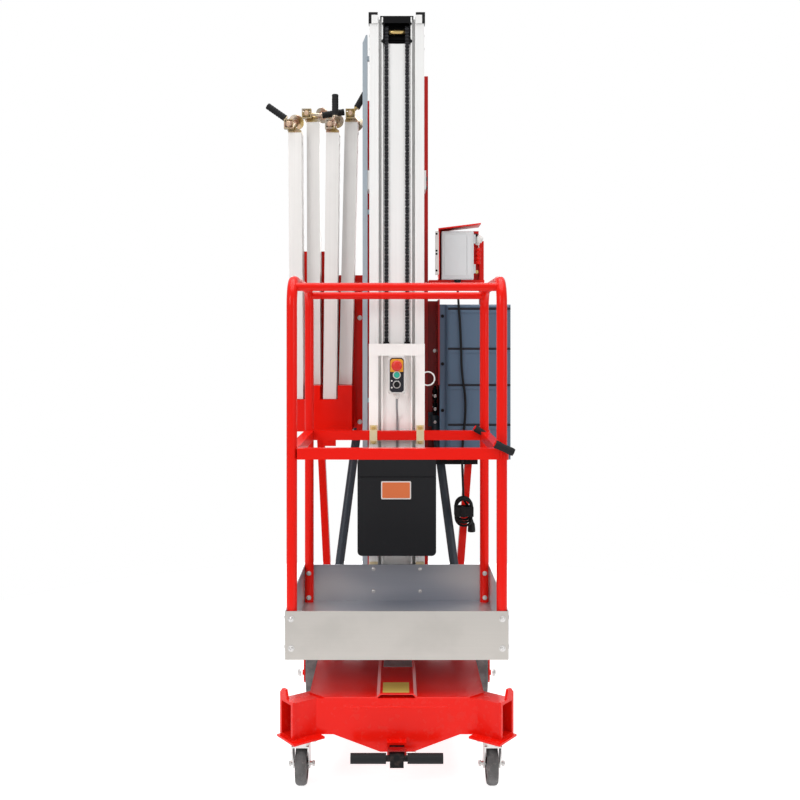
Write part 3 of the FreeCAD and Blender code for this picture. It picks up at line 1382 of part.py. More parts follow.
def power_bracket():
    """Red plates that hold the power unit and the control box on the column, and the right leg."""
    sheet = BRACKET_SHEET
    y = COVER_REAR
    rear = y + sheet
    left = COVER_LEFT - COVER_FLANGE
    column = COLUMN_HALF
    column_rear = COLUMN_FRONT + COLUMN_DEPTH
    panel = SIDE_PANEL_Y
    pad_top = RAIL_TOP + FOOT_PAD["thickness"]
    tray_bottom = COVER_BOTTOM - TRAY["thickness"]
    shelf_low = CONTROL_BOTTOM - SHELF["thickness"]
    shelf_front = SHELF["front"]
    post_left = SIDE_POST_RIGHT - SIDE_POST_WIDTH
    canopy_low = CONTROL_TOP + CANOPY_GAP
    canopy_top = canopy_low + CANOPY_SHEET
    back = CONTROL_REAR
    back_rear = back + CANOPY_SHEET
    roof = [
        (CANOPY_LEFT, canopy_low), (CANOPY_RIGHT, canopy_low + CANOPY_RISE),
        (CANOPY_RIGHT, canopy_top + CANOPY_RISE), (CANOPY_LEFT, canopy_top),
    ]
    lower = [
        box(column, COVER_RIGHT, y, rear, COVER_BOTTOM, COVER_TOP),
        box(left - sheet, left, COVER_FRONT + 10.0, rear, SIDE_STRIP_BOTTOM, BRACKET_TOP),
        box(column, left, panel, panel + sheet, SIDE_PANEL_BOTTOM, BRACKET_TOP),
        box(column, column + sheet, panel, rear, SIDE_PANEL_BOTTOM, COVER_TOP),
        box(post_left, SIDE_POST_RIGHT, back_rear - 30.0, back_rear, COVER_TOP, SIDE_POST_TOP),
        slanted_leg((280.0, tray_bottom), (235.0, pad_top)),
    ]
    upper = [
        box(column, SIDE_POST_RIGHT, shelf_front, back_rear, shelf_low, CONTROL_BOTTOM),
        box(CANOPY_LEFT, CANOPY_RIGHT, back, back_rear, CONTROL_BOTTOM, canopy_top),
        prism_y(roof, CONTROL_FRONT - 10.0, back_rear),
        box(CANOPY_LEFT, CANOPY_LEFT + CANOPY_SHEET, CONTROL_FRONT, back_rear, CONTROL_BOTTOM, canopy_top),
        box(CANOPY_RIGHT - 5.0, post_left, back, back_rear, CONTROL_BOTTOM, CONTROL_BOTTOM + 90.0),
        box(column, column + sheet, shelf_front, column_rear, shelf_low, CONTROL_BOTTOM),
    ]
    return group(join(lower + upper).Solids)


def power_pack():
    """Tray under the cover and the plain block of battery and pump inside it."""
    gap = PACK_CLEARANCE
    wall = COVER_WALL
    low = COVER_BOTTOM - TRAY["thickness"]
    tray = box(TRAY["left"], TRAY["right"], TRAY["front"], COVER_REAR, low, COVER_BOTTOM)
    foot = (*BRACE_FOOT, RAIL_TOP)
    tray = tray.cut(rod(BRACE_TOP, foot, BRACE_RADIUS + BRACE_ROOM))
    tray = max(tray.Solids, key=lambda s: s.Volume)
    x0, x1 = COVER_LEFT + wall + gap, COVER_RIGHT - wall - gap
    floor = COVER_BOTTOM + wall
    block = box(x0, x1, COVER_FRONT + wall * 2 + gap, COVER_REAR, floor, floor + PACK_HEIGHT)
    return group([tray, block])


def control_box():
    """Grey electrical box, open behind its door, with the supply lead's gland."""
    w = CONTROL_WALL
    x0, x1 = CONTROL_LEFT, CONTROL_RIGHT
    y0, y1 = CONTROL_FRONT + CONTROL_DOOR + DOOR_GAP, CONTROL_REAR
    z0, z1 = CONTROL_BOTTOM, CONTROL_TOP
    shell = box(x0, x1, y0, y1, z0, z1).cut(box(x0 + w, x1 - w, y0 - 1, y1 - w, z0 + w, z1 - w))
    x, y = LEAD_GLAND
    pieces = [shell, rod((x, y, LEAD_ROUTE[0][2]), (x, y, CONTROL_BOTTOM), GLAND_RADIUS)]
    for low in KNUCKLE_PLACES:
        high = low + KNUCKLE_HEIGHT
        ends = (low, low + KNUCKLE_END), (high - KNUCKLE_END, high)
        pieces.append(rod((*DOOR_AXIS, low), (*DOOR_AXIS, high), KNUCKLE_PIN))
        for z in ends:
            pieces.append(rod((*DOOR_AXIS, z[0]), (*DOOR_AXIS, z[1]), KNUCKLE_RADIUS))
            pieces.append(box(x1, x1 + 3.0, DOOR_AXIS[1], y0 + 20.0, *z))
    return join(pieces)


def control_door():
    """Door of the control box, hinged along its right-hand edge."""
    y0, y1 = CONTROL_FRONT, CONTROL_FRONT + CONTROL_DOOR
    pieces = [rounded_box(CONTROL_LEFT, CONTROL_RIGHT, y0, y1, CONTROL_BOTTOM, CONTROL_TOP, 5.0)]
    bores = []
    x, y = DOOR_AXIS
    for place in KNUCKLE_PLACES:
        low = place + KNUCKLE_END + DOOR_GAP / 2
        high = place + KNUCKLE_HEIGHT - KNUCKLE_END - DOOR_GAP / 2
        pieces.append(rod((x, y, low), (x, y, high), KNUCKLE_RADIUS))
        pieces.append(box(CONTROL_RIGHT - 2.0, x, y - 2.0, y + 2.0, low, high))
        bores.append(rod((x, y, low - 1), (x, y, high + 1), KNUCKLE_PIN + AXLE_RUNNING))
    return join(pieces).cut(bores)


# Hanging lead

def lead_wire():
    """The lead's line: runs joined by arcs as large as the runs allow."""
    points = [vec(*p) for p in LEAD_ROUTE]
    share = 0.45
    edges = []
    last = points[0]
    for before, here, after in zip(points, points[1:], points[2:]):
        back = before - here
        ahead = after - here
        run = min(back.Length, ahead.Length) * share
        half = back.getAngle(ahead) / 2
        radius = run * math.tan(half)
        print(f"lead bend radius {radius:.0f}")
        back = back.normalize()
        ahead = ahead.normalize()
        start = here + back * run
        end = here + ahead * run
        middle = here + (back + ahead).normalize() * (radius / math.sin(half) - radius)
        edges.append(Part.LineSegment(last, start).toShape())
        edges.append(Part.Arc(start, middle, end).toShape())
        last = end
    edges.append(Part.LineSegment(last, points[-1]).toShape())
    return Part.Wire(edges)


def hanging_lead():
    """Supply lead from the control box's gland down to its tied bundle."""
    wire = lead_wire()
    tube = along_wire(wire, LEAD_RADIUS)
    ideal = math.pi * LEAD_RADIUS ** 2 * wire.Length
    print(f"lead length {wire.Length:.0f}, volume over section times length {tube.Volume / ideal:.4f}")
    return tube


def lead_hank():
    """Outer shape of the tied bundle at the lead's end, with its plug."""
    x, y, z = LEAD_ROUTE[-1]
    wide, deep, tall = HANK_SIZE
    top = z - SLIDE_FIT
    hank = rounded_box(x - wide / 2, x + wide / 2, y - deep / 2, y + deep / 2, top - tall, top, 17.0)
    plug_wide, plug_deep, plug_tall = PLUG_SIZE
    x0 = x + wide / 2 - 2.0
    z0 = top - tall + 30.0
    plug = box(x0, x0 + plug_wide, y - plug_deep / 2, y + plug_deep / 2, z0, z0 + plug_tall)
    return join([hank, plug])


SINGLE_NODES = (
    ("base_frame", base_frame),
    ("base_deck", base_deck),
    ("ballast_block", ballast_block),
    ("caster_plates", caster_plates),
    ("outrigger_sockets", outrigger_sockets),
    ("wheel_brackets", wheel_brackets),
    ("rear_column", rear_column),
    ("guide_straps", guide_straps),
    ("mast_braces", mast_braces),
    ("outrigger_rack", outrigger_rack),
    ("power_bracket", power_bracket),
    ("power_cover", power_cover),
    ("power_pack", power_pack),
    ("control_box", control_box),
    ("control_door", control_door),
    ("hanging_lead", hanging_lead),
    ("lead_hank", lead_hank),
    ("drawbar", drawbar),
    ("handle_grips", handle_grips),
    ("chain_head", chain_head),
    ("corner_caps", corner_caps),
    ("lift_chains", lift_chains),
    ("hose_conduit", hose_conduit),
    ("carriage", carriage),
    ("carriage_brackets", carriage_brackets),
    ("harness_ring", harness_ring),
    ("control_station", control_station),
    ("station_cable", station_cable),
    ("cage_left", cage_left),
    ("cage_right", cage_right),
    ("cage_rails", cage_rails),
    ("platform_floor", platform_floor),
    ("toe_board_front", toe_board_front),
    ("toe_boards_inner", toe_boards_inner),
    ("toolbox", toolbox),
    ("toolbox_lid", toolbox_lid),
    ("entry_bar", entry_bar),
)
SIDED_NODES = (
    ("main_tyre", main_tyre),
    ("main_rim", main_rim),
    ("caster_fork", caster_fork),
    ("caster_wheel", caster_wheel),
)
SIDES = (("left", -1), ("right", 1))


def build():
    """Make every sub-part and return them by node name."""
    nodes = {name: make() for name, make in SINGLE_NODES}
    for name, make in SIDED_NODES:
        for label, side in SIDES:
            nodes[f"{name}_{label}"] = make(side)
    for index in range(1, MOVING_SECTIONS + 2):
        nodes[f"mast_section_{index}"] = mast_section(index)
    for item in OUTRIGGERS:
        nodes[f"{item['name']}_beam"] = outrigger_beam(item)
        nodes[f"{item['name']}_jack"] = outrigger_jack(item)
    return nodes


os.makedirs("parts", exist_ok=True)
NODES = build()
for node, shape in NODES.items():
    shape.exportStep(f"parts/{node}.step")
print(len(NODES), "nodes")
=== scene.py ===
"""Looks of the vertical mast lift: camera, lights, materials and the small pieces on the frame.

Places and sizes in the tables are millimetres in the frame's own axes, and become metres when
a mesh is made. +Z is up, +X is the right-hand side, and -Y is the platform end.
"""
import math

import bmesh
import bpy
from mathutils import Matrix, Vector


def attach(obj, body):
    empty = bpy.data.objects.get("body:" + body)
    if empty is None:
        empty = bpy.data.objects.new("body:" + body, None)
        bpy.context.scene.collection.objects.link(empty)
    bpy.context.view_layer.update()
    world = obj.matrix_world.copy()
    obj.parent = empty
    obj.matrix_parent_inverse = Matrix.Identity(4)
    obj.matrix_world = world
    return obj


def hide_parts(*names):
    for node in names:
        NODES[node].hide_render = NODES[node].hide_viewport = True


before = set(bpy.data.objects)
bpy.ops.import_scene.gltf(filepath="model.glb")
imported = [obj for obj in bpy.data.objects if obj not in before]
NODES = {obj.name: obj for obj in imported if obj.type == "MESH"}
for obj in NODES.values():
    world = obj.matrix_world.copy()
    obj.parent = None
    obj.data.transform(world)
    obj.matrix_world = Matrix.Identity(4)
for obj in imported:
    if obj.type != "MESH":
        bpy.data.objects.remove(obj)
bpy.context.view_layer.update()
SCENE = bpy.context.scene
MM = 0.001

# Camera
CAMERA_PLACE = (0.0, -3478.0, 1320.0)
CAMERA_LENS = 45.0
CAMERA_SENSOR = 36.0
CAMERA_SHIFT = (0.004, -0.071)

# Directions
RIGHT, LEFT = (1, 0, 0), (-1, 0, 0)
FRONT, BACK = (0, -1, 0), (0, 1, 0)
UP, DOWN = (0, 0, 1), (0, 0, -1)

# Faces and places that several pieces share
BOARD_FACE_Y = -497.3
SIDE_BOARD_X = 334.3
DECK_TOP = 279
TOOLBOX_FRONT = 28
STATION_FRONT = 78.5
STATION_BOTTOM = 1139.5
STATION_TOP = 1274.5
CARRIAGE_FRONT = 138.5
MAST_FRONT = 203.5
MAST_SIDE = 101
CHAIN_X = 38
CHAIN_PITCH = 12.7
CHAIN_BOTTOM = 320
CHAIN_WRAP = 0.97  # of half a turn, round the sprocket
SPROCKET_RADIUS = 19
SPROCKET_CENTRE = (233, 2474)
COVER_FRONT = 372
COVER_BACK = 590
COVER_FLANGE_Y = 394
COVER_GROOVES = (1448, 1294, 1154, 1001)
BOX_FRONT = 372
BOX_BACK = 472
RACK_BACK = 483
COLUMN_BACK = 529.5
FRAME_BACK = 590
UNIT_BACK = 604
SOCKET_ANGLE = math.radians(36)
CASTER_X = 284
CASTER_Y = -519
SHARP_ANGLE = 35


def metres(place):
    """A place in millimetres as a vector in metres."""
    return Vector(place) * MM


def placed(name, data):
    """An object of the scene with the given data."""
    made = bpy.data.objects.new(name, data)
    SCENE.collection.objects.link(made)
    return made


# Camera and lights

def make_camera():
    """The photograph's view: level, in front of the platform, with a small lens shift."""
    data = bpy.data.cameras.new("camera")
    data.lens = CAMERA_LENS
    data.sensor_width = CAMERA_SENSOR
    data.shift_x, data.shift_y = CAMERA_SHIFT
    data.clip_end = 60.0
    camera = placed("camera", data)
    camera.location = metres(CAMERA_PLACE)
    camera.rotation_euler = (math.radians(90.0), 0.0, 0.0)
    SCENE.camera = camera


# Name, place, what it's aimed at, diameter in metres and power in watts
LIGHTS = (
    ("overhead", (0, -300, 11500), (0, 0, 0), 13, 1430),
    ("key", (-3200, -4200, 3200), (0, 0, 1300), 2.6, 104),
    ("fill", (3400, -3800, 2200), (0, 0, 1100), 2.6, 45),
    ("back", (0, 4200, 3200), (0, 0, 1300), 3, 60),
)


def make_lights():
    """Large soft lights round the object."""
    for name, place, aim, size, power in LIGHTS:
        data = bpy.data.lights.new(name, "AREA")
        data.shape = "DISK"
        data.size = size
        data.energy = power
        light = placed(name, data)
        light.location = metres(place)
        way = metres(aim) - light.location
        light.rotation_euler = way.to_track_quat("-Z", "Y").to_euler()


WORLD_LIGHT = 0.42
WORLD_REFLECTED = 0.42
WORLD_SEEN = 1.0


def background(tree, strength):
    """A plain white background of one strength."""
    made = tree.nodes.new("ShaderNodeBackground")
    made.inputs["Color"].default_value = (1.0, 1.0, 1.0, 1.0)
    made.inputs["Strength"].default_value = strength
    return made


def make_world():
    """White where the camera sees it, partly so in reflections, and a lower level as a light."""
    world = bpy.data.worlds.new("world")
    world.use_nodes = True
    tree = world.node_tree
    tree.nodes.clear()
    path = tree.nodes.new("ShaderNodeLightPath")
    glossy = tree.nodes.new("ShaderNodeMath")
    glossy.operation = "MULTIPLY"
    glossy.inputs[1].default_value = WORLD_REFLECTED
    tree.links.new(path.outputs["Is Glossy Ray"], glossy.inputs[0])
    seen = tree.nodes.new("ShaderNodeMath")
    seen.operation = "MAXIMUM"
    tree.links.new(path.outputs["Is Camera Ray"], seen.inputs[0])
    tree.links.new(glossy.outputs[0], seen.inputs[1])
    mixer = tree.nodes.new("ShaderNodeMixShader")
    tree.links.new(seen.outputs[0], mixer.inputs[0])
    tree.links.new(background(tree, WORLD_LIGHT).outputs[0], mixer.inputs[1])
    tree.links.new(background(tree, WORLD_SEEN).outputs[0], mixer.inputs[2])
    output = tree.nodes.new("ShaderNodeOutputWorld")
    tree.links.new(mixer.outputs[0], output.inputs["Surface"])
    SCENE.world = world
    SCENE.view_settings.view_transform = "Standard"


# Materials

class Value:
    """A shader socket that Python's own operators work on."""

    def __init__(self, paint, socket):
        self.paint = paint
        self.socket = socket

    def __add__(self, other):
        return self.paint.math("ADD", self, other)

    def __sub__(self, other):
        return self.paint.math("SUBTRACT", self, other)

    def __mul__(self, other):
        return self.paint.math("MULTIPLY", self, other)

    def __rsub__(self, other):
        return self.paint.math("SUBTRACT", other, self)

    __radd__ = __add__
    __rmul__ = __mul__


class Paint:
    """A material whose nodes are made by plain calls."""

    def __init__(self, name, **constants):
        self.material = bpy.data.materials.new(name)
        self.material.use_nodes = True
        self.tree = self.material.node_tree
        self.tree.nodes.clear()
        self.shader = self.tree.nodes.new("ShaderNodeBsdfPrincipled")
        output = self.tree.nodes.new("ShaderNodeOutputMaterial")
        self.tree.links.new(self.shader.outputs[0], output.inputs[0])
        for key, value in constants.items():
            self.shader.inputs[key.replace("_", " ").title().replace("Ior", "IOR")].default_value = value
        self.place = self.node("ShaderNodeTexCoord", {}, "Object")

    def node(self, kind, inputs, output=0, **settings):
        """Any node: its inputs by name or number, and the output that is wanted."""
        made = self.tree.nodes.new(kind)
        for key, value in settings.items():
            setattr(made, key, value)
        for key, value in inputs.items():
            if isinstance(value, Value):
                self.tree.links.new(value.socket, made.inputs[key])
            else:
                made.inputs[key].default_value = value
        return Value(self, made.outputs[output])

    def math(self, operation, *values):
        inputs = dict(enumerate(values))
        return self.node("ShaderNodeMath", inputs, operation=operation)

    def stretched(self, x, y, z):
        """The object's coordinates, scaled along each axis."""
        inputs = {0: self.place, 1: (x, y, z)}
        return self.node("ShaderNodeVectorMath", inputs, operation="MULTIPLY")

    def noise(self, scale, detail=3.0, at=None):
        inputs = {"Vector": at or self.place, "Scale": scale, "Detail": detail}
        return self.node("ShaderNodeTexNoise", inputs, "Fac")

    def step(self, value, low, high):
        """0 below low, 1 above high, and smooth between."""
        inputs = {"Value": value, "From Min": low, "From Max": high}
        return self.node("ShaderNodeMapRange", inputs, interpolation_type="SMOOTHSTEP")

    def mix(self, factor, first, second):
        """One colour to another by a factor."""
        inputs = {0: factor, 6: colour(first), 7: colour(second)}
        return self.node("ShaderNodeMix", inputs, 2, data_type="RGBA")

    def height(self):
        """How high a point is above the floor, in metres."""
        return self.node("ShaderNodeSeparateXYZ", {0: self.place}, "Z")

    def bump(self, value, strength, distance):
        inputs = {"Height": value, "Strength": strength, "Distance": distance}
        return self.node("ShaderNodeBump", inputs)

    def set(self, **sockets):
        """Link values to the shader's sockets."""
        for key, value in sockets.items():
            self.tree.links.new(value.socket, self.shader.inputs[key.replace("_", " ").title()])
        return self.material


def colour(value):
    """Three numbers as a colour with full alpha, or a socket as it is."""
    return value if isinstance(value, Value) else (*value, 1.0)


def darker(rgb, share):
    return tuple(channel * share for channel in rgb)


def gloss_paint(name, rgb, rough=0.24, coat=0.16, dust=0.10, shine=0.20, shade_band=None):
    """Sprayed gloss paint: orange peel, faint unevenness and dust low down.

    The optional shade band is painted shade: another colour with the two heights between which it takes over.
    """
    p = Paint(name, coat_roughness=0.12, specular_ior_level=shine)
    broad = p.noise(4.0)
    fine = p.noise(60.0, 4.0)
    low = 1.0 - p.step(p.height(), 0.02, 0.42)
    speck = p.step(fine + broad * 0.35, 0.70, 0.92)
    tone = p.mix(broad, darker(rgb, 0.95), rgb)
    # Painted shade: the band's darker colour takes over between its two heights
    if shade_band:
        inner, bottom, top = shade_band
        in_shade_band = p.step(p.height(), bottom - 0.01, bottom) - p.step(p.height(), top, top + 0.01)
        tone = p.mix(in_shade_band, tone, inner)
    tone = p.mix(speck * low * dust, tone, (0.30, 0.20, 0.17))
    peel = p.noise(420.0, 1.5)
    roughness = fine * 0.10 + speck * low * 0.20 + (rough - 0.05)
    return p.set(
        base_color=tone, roughness=roughness, coat_weight=coat - speck * low * coat,
        normal=p.bump(peel, 0.06, 0.0004),
    )


def drawn_metal(name, rgb, rough, metal, lines, wear=0.06):
    """Metal with fine lines from drawing, rolling or brushing. lines scales each axis."""
    p = Paint(name)
    streaks = p.noise(1.0, 5.0, p.stretched(*lines))
    patches = p.noise(7.0, 4.0)
    tone = p.mix(streaks, darker(rgb, 0.90), rgb)
    tone = p.mix(p.step(patches, 0.48, 0.74) * wear * 4.0, tone, darker(rgb, 0.72))
    roughness = streaks * 0.16 + patches * 0.10 + (rough - 0.12)
    flat = p.math("MULTIPLY", p.noise(3.0, 1.0), 0.12) + (metal - 0.06)
    return p.set(base_color=tone, roughness=roughness, metallic=flat, normal=p.bump(streaks, 0.12, 0.0004))


def sheet_with_painted_reflections(name):
    """Rolled sheet with painted reflections: its colour and shine drift from bluish dark to pale in broad
    soft bands.
    """
    p = Paint(name)
    streaks = p.noise(1.0, 5.0, p.stretched(3.0, 30.0, 260.0))
    bands = p.noise(1.0, 1.0, p.stretched(1.8, 2.5, 5.0))
    # Painted reflections: broad bands from bluish dark to pale in the base colour
    tone = p.mix(p.step(bands, 0.36, 0.64), (0.34, 0.365, 0.42), (0.66, 0.66, 0.66))
    tone = p.mix(streaks * 0.25, tone, (0.62, 0.62, 0.62))
    roughness = streaks * 0.14 + bands * 0.16 + 0.20
    metal = p.math("MULTIPLY", bands, 0.1) + 0.82
    return p.set(base_color=tone, roughness=roughness, metallic=metal, normal=p.bump(streaks, 0.10, 0.0004))


def passivated(name):
    """Yellow zinc plating, with its drifting gold and pinkish tints."""
    p = Paint(name)
    drift = p.noise(14.0, 2.0)
    fine = p.noise(220.0, 4.0)
    tint = p.noise(24.0, 1.0)
    tone = p.mix(p.step(drift, 0.38, 0.60), (0.46, 0.33, 0.13), (0.50, 0.44, 0.36))
    tone = p.mix(p.step(tint, 0.50, 0.66), tone, (0.55, 0.36, 0.27))
    tone = p.mix(p.step(fine, 0.50, 0.80), tone, (0.20, 0.13, 0.07))
    metal = 0.85 - p.step(fine, 0.6, 0.9) * 0.25
    roughness = fine * 0.24 + 0.16
    return p.set(base_color=tone, roughness=roughness, metallic=metal, normal=p.bump(fine, 0.1, 0.0004))


def grained(name, rgb, rough, scale, strength, sheen=0.9):
    """Moulded plastic or rubber with a fine grain and a little dust."""
    p = Paint(name, specular_ior_level=0.5 if max(rgb) > 0.1 else 0.16)
    grain = p.noise(scale, 2.0)
    broad = p.noise(6.0, 4.0)
    tone = p.mix(broad, darker(rgb, sheen), rgb)
    tone = p.mix(p.step(p.noise(35.0, 5.0), 0.58, 0.85) * 0.25, tone, tuple(v * 0.9 + 0.012 for v in rgb))
    roughness = grain * 0.12 + broad * 0.12 + (rough - 0.1)
    return p.set(base_color=tone, roughness=roughness, normal=p.bump(grain, strength, 0.0008))


def tyre_tread(name, rgb):
    """Hard rubber tread: scuffed, with dust in its pores."""
    p = Paint(name)
    pores = p.noise(260.0, 5.0)
    scuffs = p.noise(30.0, 6.0)
    tone = p.mix(p.step(scuffs, 0.4, 0.7), rgb, tuple(v * 1.5 + 0.02 for v in rgb))
    tone = p.mix(p.step(pores, 0.58, 0.75) * 0.5, tone, (0.30, 0.27, 0.24))
    return p.set(base_color=tone, roughness=pores * 0.2 + 0.55, normal=p.bump(pores, 0.35, 0.0008))


RED = (0.73, 0.008, 0.003)
# DEEP_RED is the red paint as it looks in the power bracket's deep shade
DEEP_RED = (0.27, 0.005, 0.005)
MATERIALS = {
    "red": gloss_paint("red_paint", RED, coat=0.10, shine=0.12),
    "deep_red": gloss_paint("deep_red_paint", DEEP_RED, rough=0.32, coat=0.3),
    # Painted shade: DEEP_RED over the power bracket between 0.862 and 1.5 m high, on the same red paint
    "bracket_red_painted_shade": gloss_paint("bracket_red_paint", RED, rough=0.30, shade_band=(DEEP_RED, 0.862, 1.500)),
    # Painted shade: the rear column is the same red paint, darkened as it looks in shade behind the mast
    "column_red_painted_shade": gloss_paint("column_red_paint", (0.46, 0.008, 0.006), rough=0.30),
    "deck_red": gloss_paint("deck_red_paint", RED, rough=0.16, coat=0.30, dust=0.04, shine=0.20),
    "slate": gloss_paint("slate_paint", (0.036, 0.047, 0.060), rough=0.40, coat=0.10),
    "white": gloss_paint("white_paint", (0.80, 0.80, 0.79), rough=0.35, coat=0.2),
    "black": gloss_paint("black_paint", (0.005, 0.005, 0.006), rough=0.42, coat=0.03, shine=0.10),
    "light_grey": gloss_paint("light_grey_paint", (0.64, 0.66, 0.67), rough=0.42, coat=0.1),
    "mast": drawn_metal("mast_aluminium", (0.86, 0.86, 0.85), 0.46, 0.45, (260, 260, 1.6), 0.03),
    "beam": drawn_metal("beam_aluminium", (0.80, 0.78, 0.76), 0.40, 0.65, (300, 300, 2), 0.05),
    "sheet": drawn_metal("brushed_sheet", (0.50, 0.475, 0.445), 0.38, 0.85, (2.5, 40, 420), 0.08),
    "inner_sheet": sheet_with_painted_reflections("inner_sheet"),
    "pale_metal": drawn_metal("pale_aluminium", (0.97, 0.955, 0.93), 0.46, 0.12, (260, 260, 1.6), 0.03),
    "steel": drawn_metal("bright_steel", (0.62, 0.61, 0.60), 0.30, 0.95, (90, 90, 90), 0.05),
    "zinc": passivated("yellow_zinc"),
    "gold_zinc": drawn_metal("gold_zinc", (0.80, 0.68, 0.42), 0.32, 0.65, (60, 60, 60), 0.08),
    "brass": drawn_metal("brass", (0.68, 0.50, 0.20), 0.30, 0.95, (120, 120, 120), 0.05),
    "copper": drawn_metal("copper_washed_steel", (0.60, 0.42, 0.30), 0.35, 0.85, (60, 60, 60), 0.08),
    "chain": drawn_metal("chain_steel", (0.028, 0.028, 0.032), 0.42, 0.7, (300, 300, 300), 0.2),
    "black_box": grained("black_moulding", (0.013, 0.014, 0.016), 0.45, 700, 0.25),
    "black_plastic": grained("black_plastic", (0.012, 0.012, 0.013), 0.42, 500, 0.12),
    "cover": grained("blue_grey_moulding", (0.066, 0.114, 0.178), 0.46, 450, 0.22),
    "conduit": grained("pale_blue_moulding", (0.36, 0.42, 0.47), 0.45, 300, 0.08),
    "station": grained("grey_moulding", (0.70, 0.69, 0.67), 0.50, 500, 0.10),
    "dark_grey": grained("dark_grey_plate", (0.022, 0.023, 0.030), 0.45, 500, 0.08),
    "yellow": grained("yellow_plate", (0.84, 0.38, 0.02), 0.40, 300, 0.05),
    "stop_red": grained("red_button", (0.66, 0.025, 0.015), 0.28, 300, 0.04),
    "go_green": grained("green_button", (0.03, 0.48, 0.34), 0.25, 300, 0.04),
    "grip": grained("grip_rubber", (0.015, 0.015, 0.016), 0.62, 600, 0.35),
    "cable": grained("cable_rubber", (0.006, 0.006, 0.007), 0.50, 400, 0.15),
    "grey_cable": grained("grey_cable", (0.27, 0.28, 0.29), 0.50, 400, 0.12),
    "label": grained("orange_label", (0.72, 0.17, 0.045), 0.42, 300, 0.03),
    "plate_yellow": grained("yellow_sign_plate", (0.58, 0.42, 0.09), 0.35, 300, 0.03),
    "label_white": grained("white_label", (0.78, 0.77, 0.74), 0.42, 300, 0.03),
    "tread": tyre_tread("grey_tread", (0.062, 0.060, 0.060)),
    "wheel_side": grained("wheel_side", (0.16, 0.175, 0.19), 0.55, 300, 0.15),
    "iron": grained("cast_iron", (0.045, 0.045, 0.045), 0.65, 300, 0.4),
}

# Each frame node's material and the rounding of its edges in millimetres
NODE_LOOKS = {
    "base_frame": ("red", 2), "base_deck": ("deck_red", 1.2), "ballast_block": ("iron", 3),
    "caster_plates": ("zinc", 0.8), "outrigger_sockets": ("red", 1.2), "wheel_brackets": ("red", 1.2),
    "rear_column": ("column_red_painted_shade", 1.5), "guide_straps": ("white", 1), "mast_braces": ("slate", 1),
    "outrigger_rack": ("red", 1), "power_bracket": ("bracket_red_painted_shade", 1.2), "power_cover": ("cover", 2),
    "power_pack": ("black", 1.5), "control_box": ("light_grey", 1), "control_door": ("light_grey", 1.5),
    "drawbar": ("black", 2), "handle_grips": ("grip", 2.5), "chain_head": ("black", 0.8),
    "corner_caps": ("black_plastic", 1), "hose_conduit": ("conduit", 0.8), "carriage": ("pale_metal", 0.8),
    "carriage_brackets": ("gold_zinc", 0.6), "harness_ring": ("white", 0),
    "station_cable": ("grey_cable", 0), "cage_left": ("red", 1.2), "cage_right": ("red", 0),
    "cage_rails": ("red", 1.5), "platform_floor": ("inner_sheet", 0.8), "toe_board_front": ("sheet", 0.8),
    "toe_boards_inner": ("inner_sheet", 0.8), "toolbox": ("black_box", 2.5),
    "toolbox_lid": ("black_box", 2.5), "entry_bar": ("red", 1.2),
}
for label in ("left", "right"):
    NODE_LOOKS.update({
        f"main_tyre_{label}": ("tread", 0.8), f"main_rim_{label}": ("wheel_side", 0.8),
        f"caster_fork_{label}": ("steel", 0.8), f"caster_wheel_{label}": ("tread", 0),
    })
NODE_LOOKS.update({f"mast_section_{index}": ("mast", 0.6) for index in range(1, 6)})
NODE_LOOKS.update({f"outrigger_{index}_beam": ("beam", 1.2) for index in range(1, 5)})
NODE_LOOKS.update({f"outrigger_{index}_jack": ("zinc", 0.8) for index in range(1, 5)})
REPLACED = ("control_station", "hanging_lead", "lead_hank", "lift_chains")


def soften(piece, width, sharp=SHARP_ANGLE):
    """Smooth shading between sharp edges, which get a small round of the given width."""
    for face in piece.data.polygons:
        face.use_smooth = True
    piece.data.set_sharp_from_angle(angle=math.radians(sharp))
    if width > 0.0:
        bevel = piece.modifiers.new("edges", "BEVEL")
        bevel.width = width * MM
        bevel.segments = 2
        bevel.limit_method = "ANGLE"
        bevel.angle_limit = math.radians(sharp)
        bevel.harden_normals = True


def dress_nodes():
    """Give every frame node its material and rounded edges."""
    for name, node in NODES.items():
        if name in REPLACED:
            continue
        look, width = NODE_LOOKS[name]
        node.data.materials.clear()
        node.data.materials.append(MATERIALS[look])
        soften(node, width)


# Mesh helpers

def turned(axis):
    """Rotation that takes +Z to the axis."""
    return Vector(axis).to_track_quat("Z", "Y").to_matrix().to_4x4()


# Fasteners' profiles of (distance, radius) pairs, for a thread of diameter 1
WASHER = ((0, 1.05), (0.16, 1.05), (0.18, 1))
HEAD_BASE = 0.17
HEXAGON_HEAD = ((0, 0.94), (0.5, 0.94), (0.64, 0.78))
DOMED_HEAD = ((0, 1.2), (0.14, 1.2), (0.15, 0.95), (0.42, 0.8), (0.56, 0.42), (0.32, 0.34), (0.32, 0))


def scaled(profile, size):
    """A fastener's profile at its size."""
    return [(size * along, size * radius) for along, radius in profile]


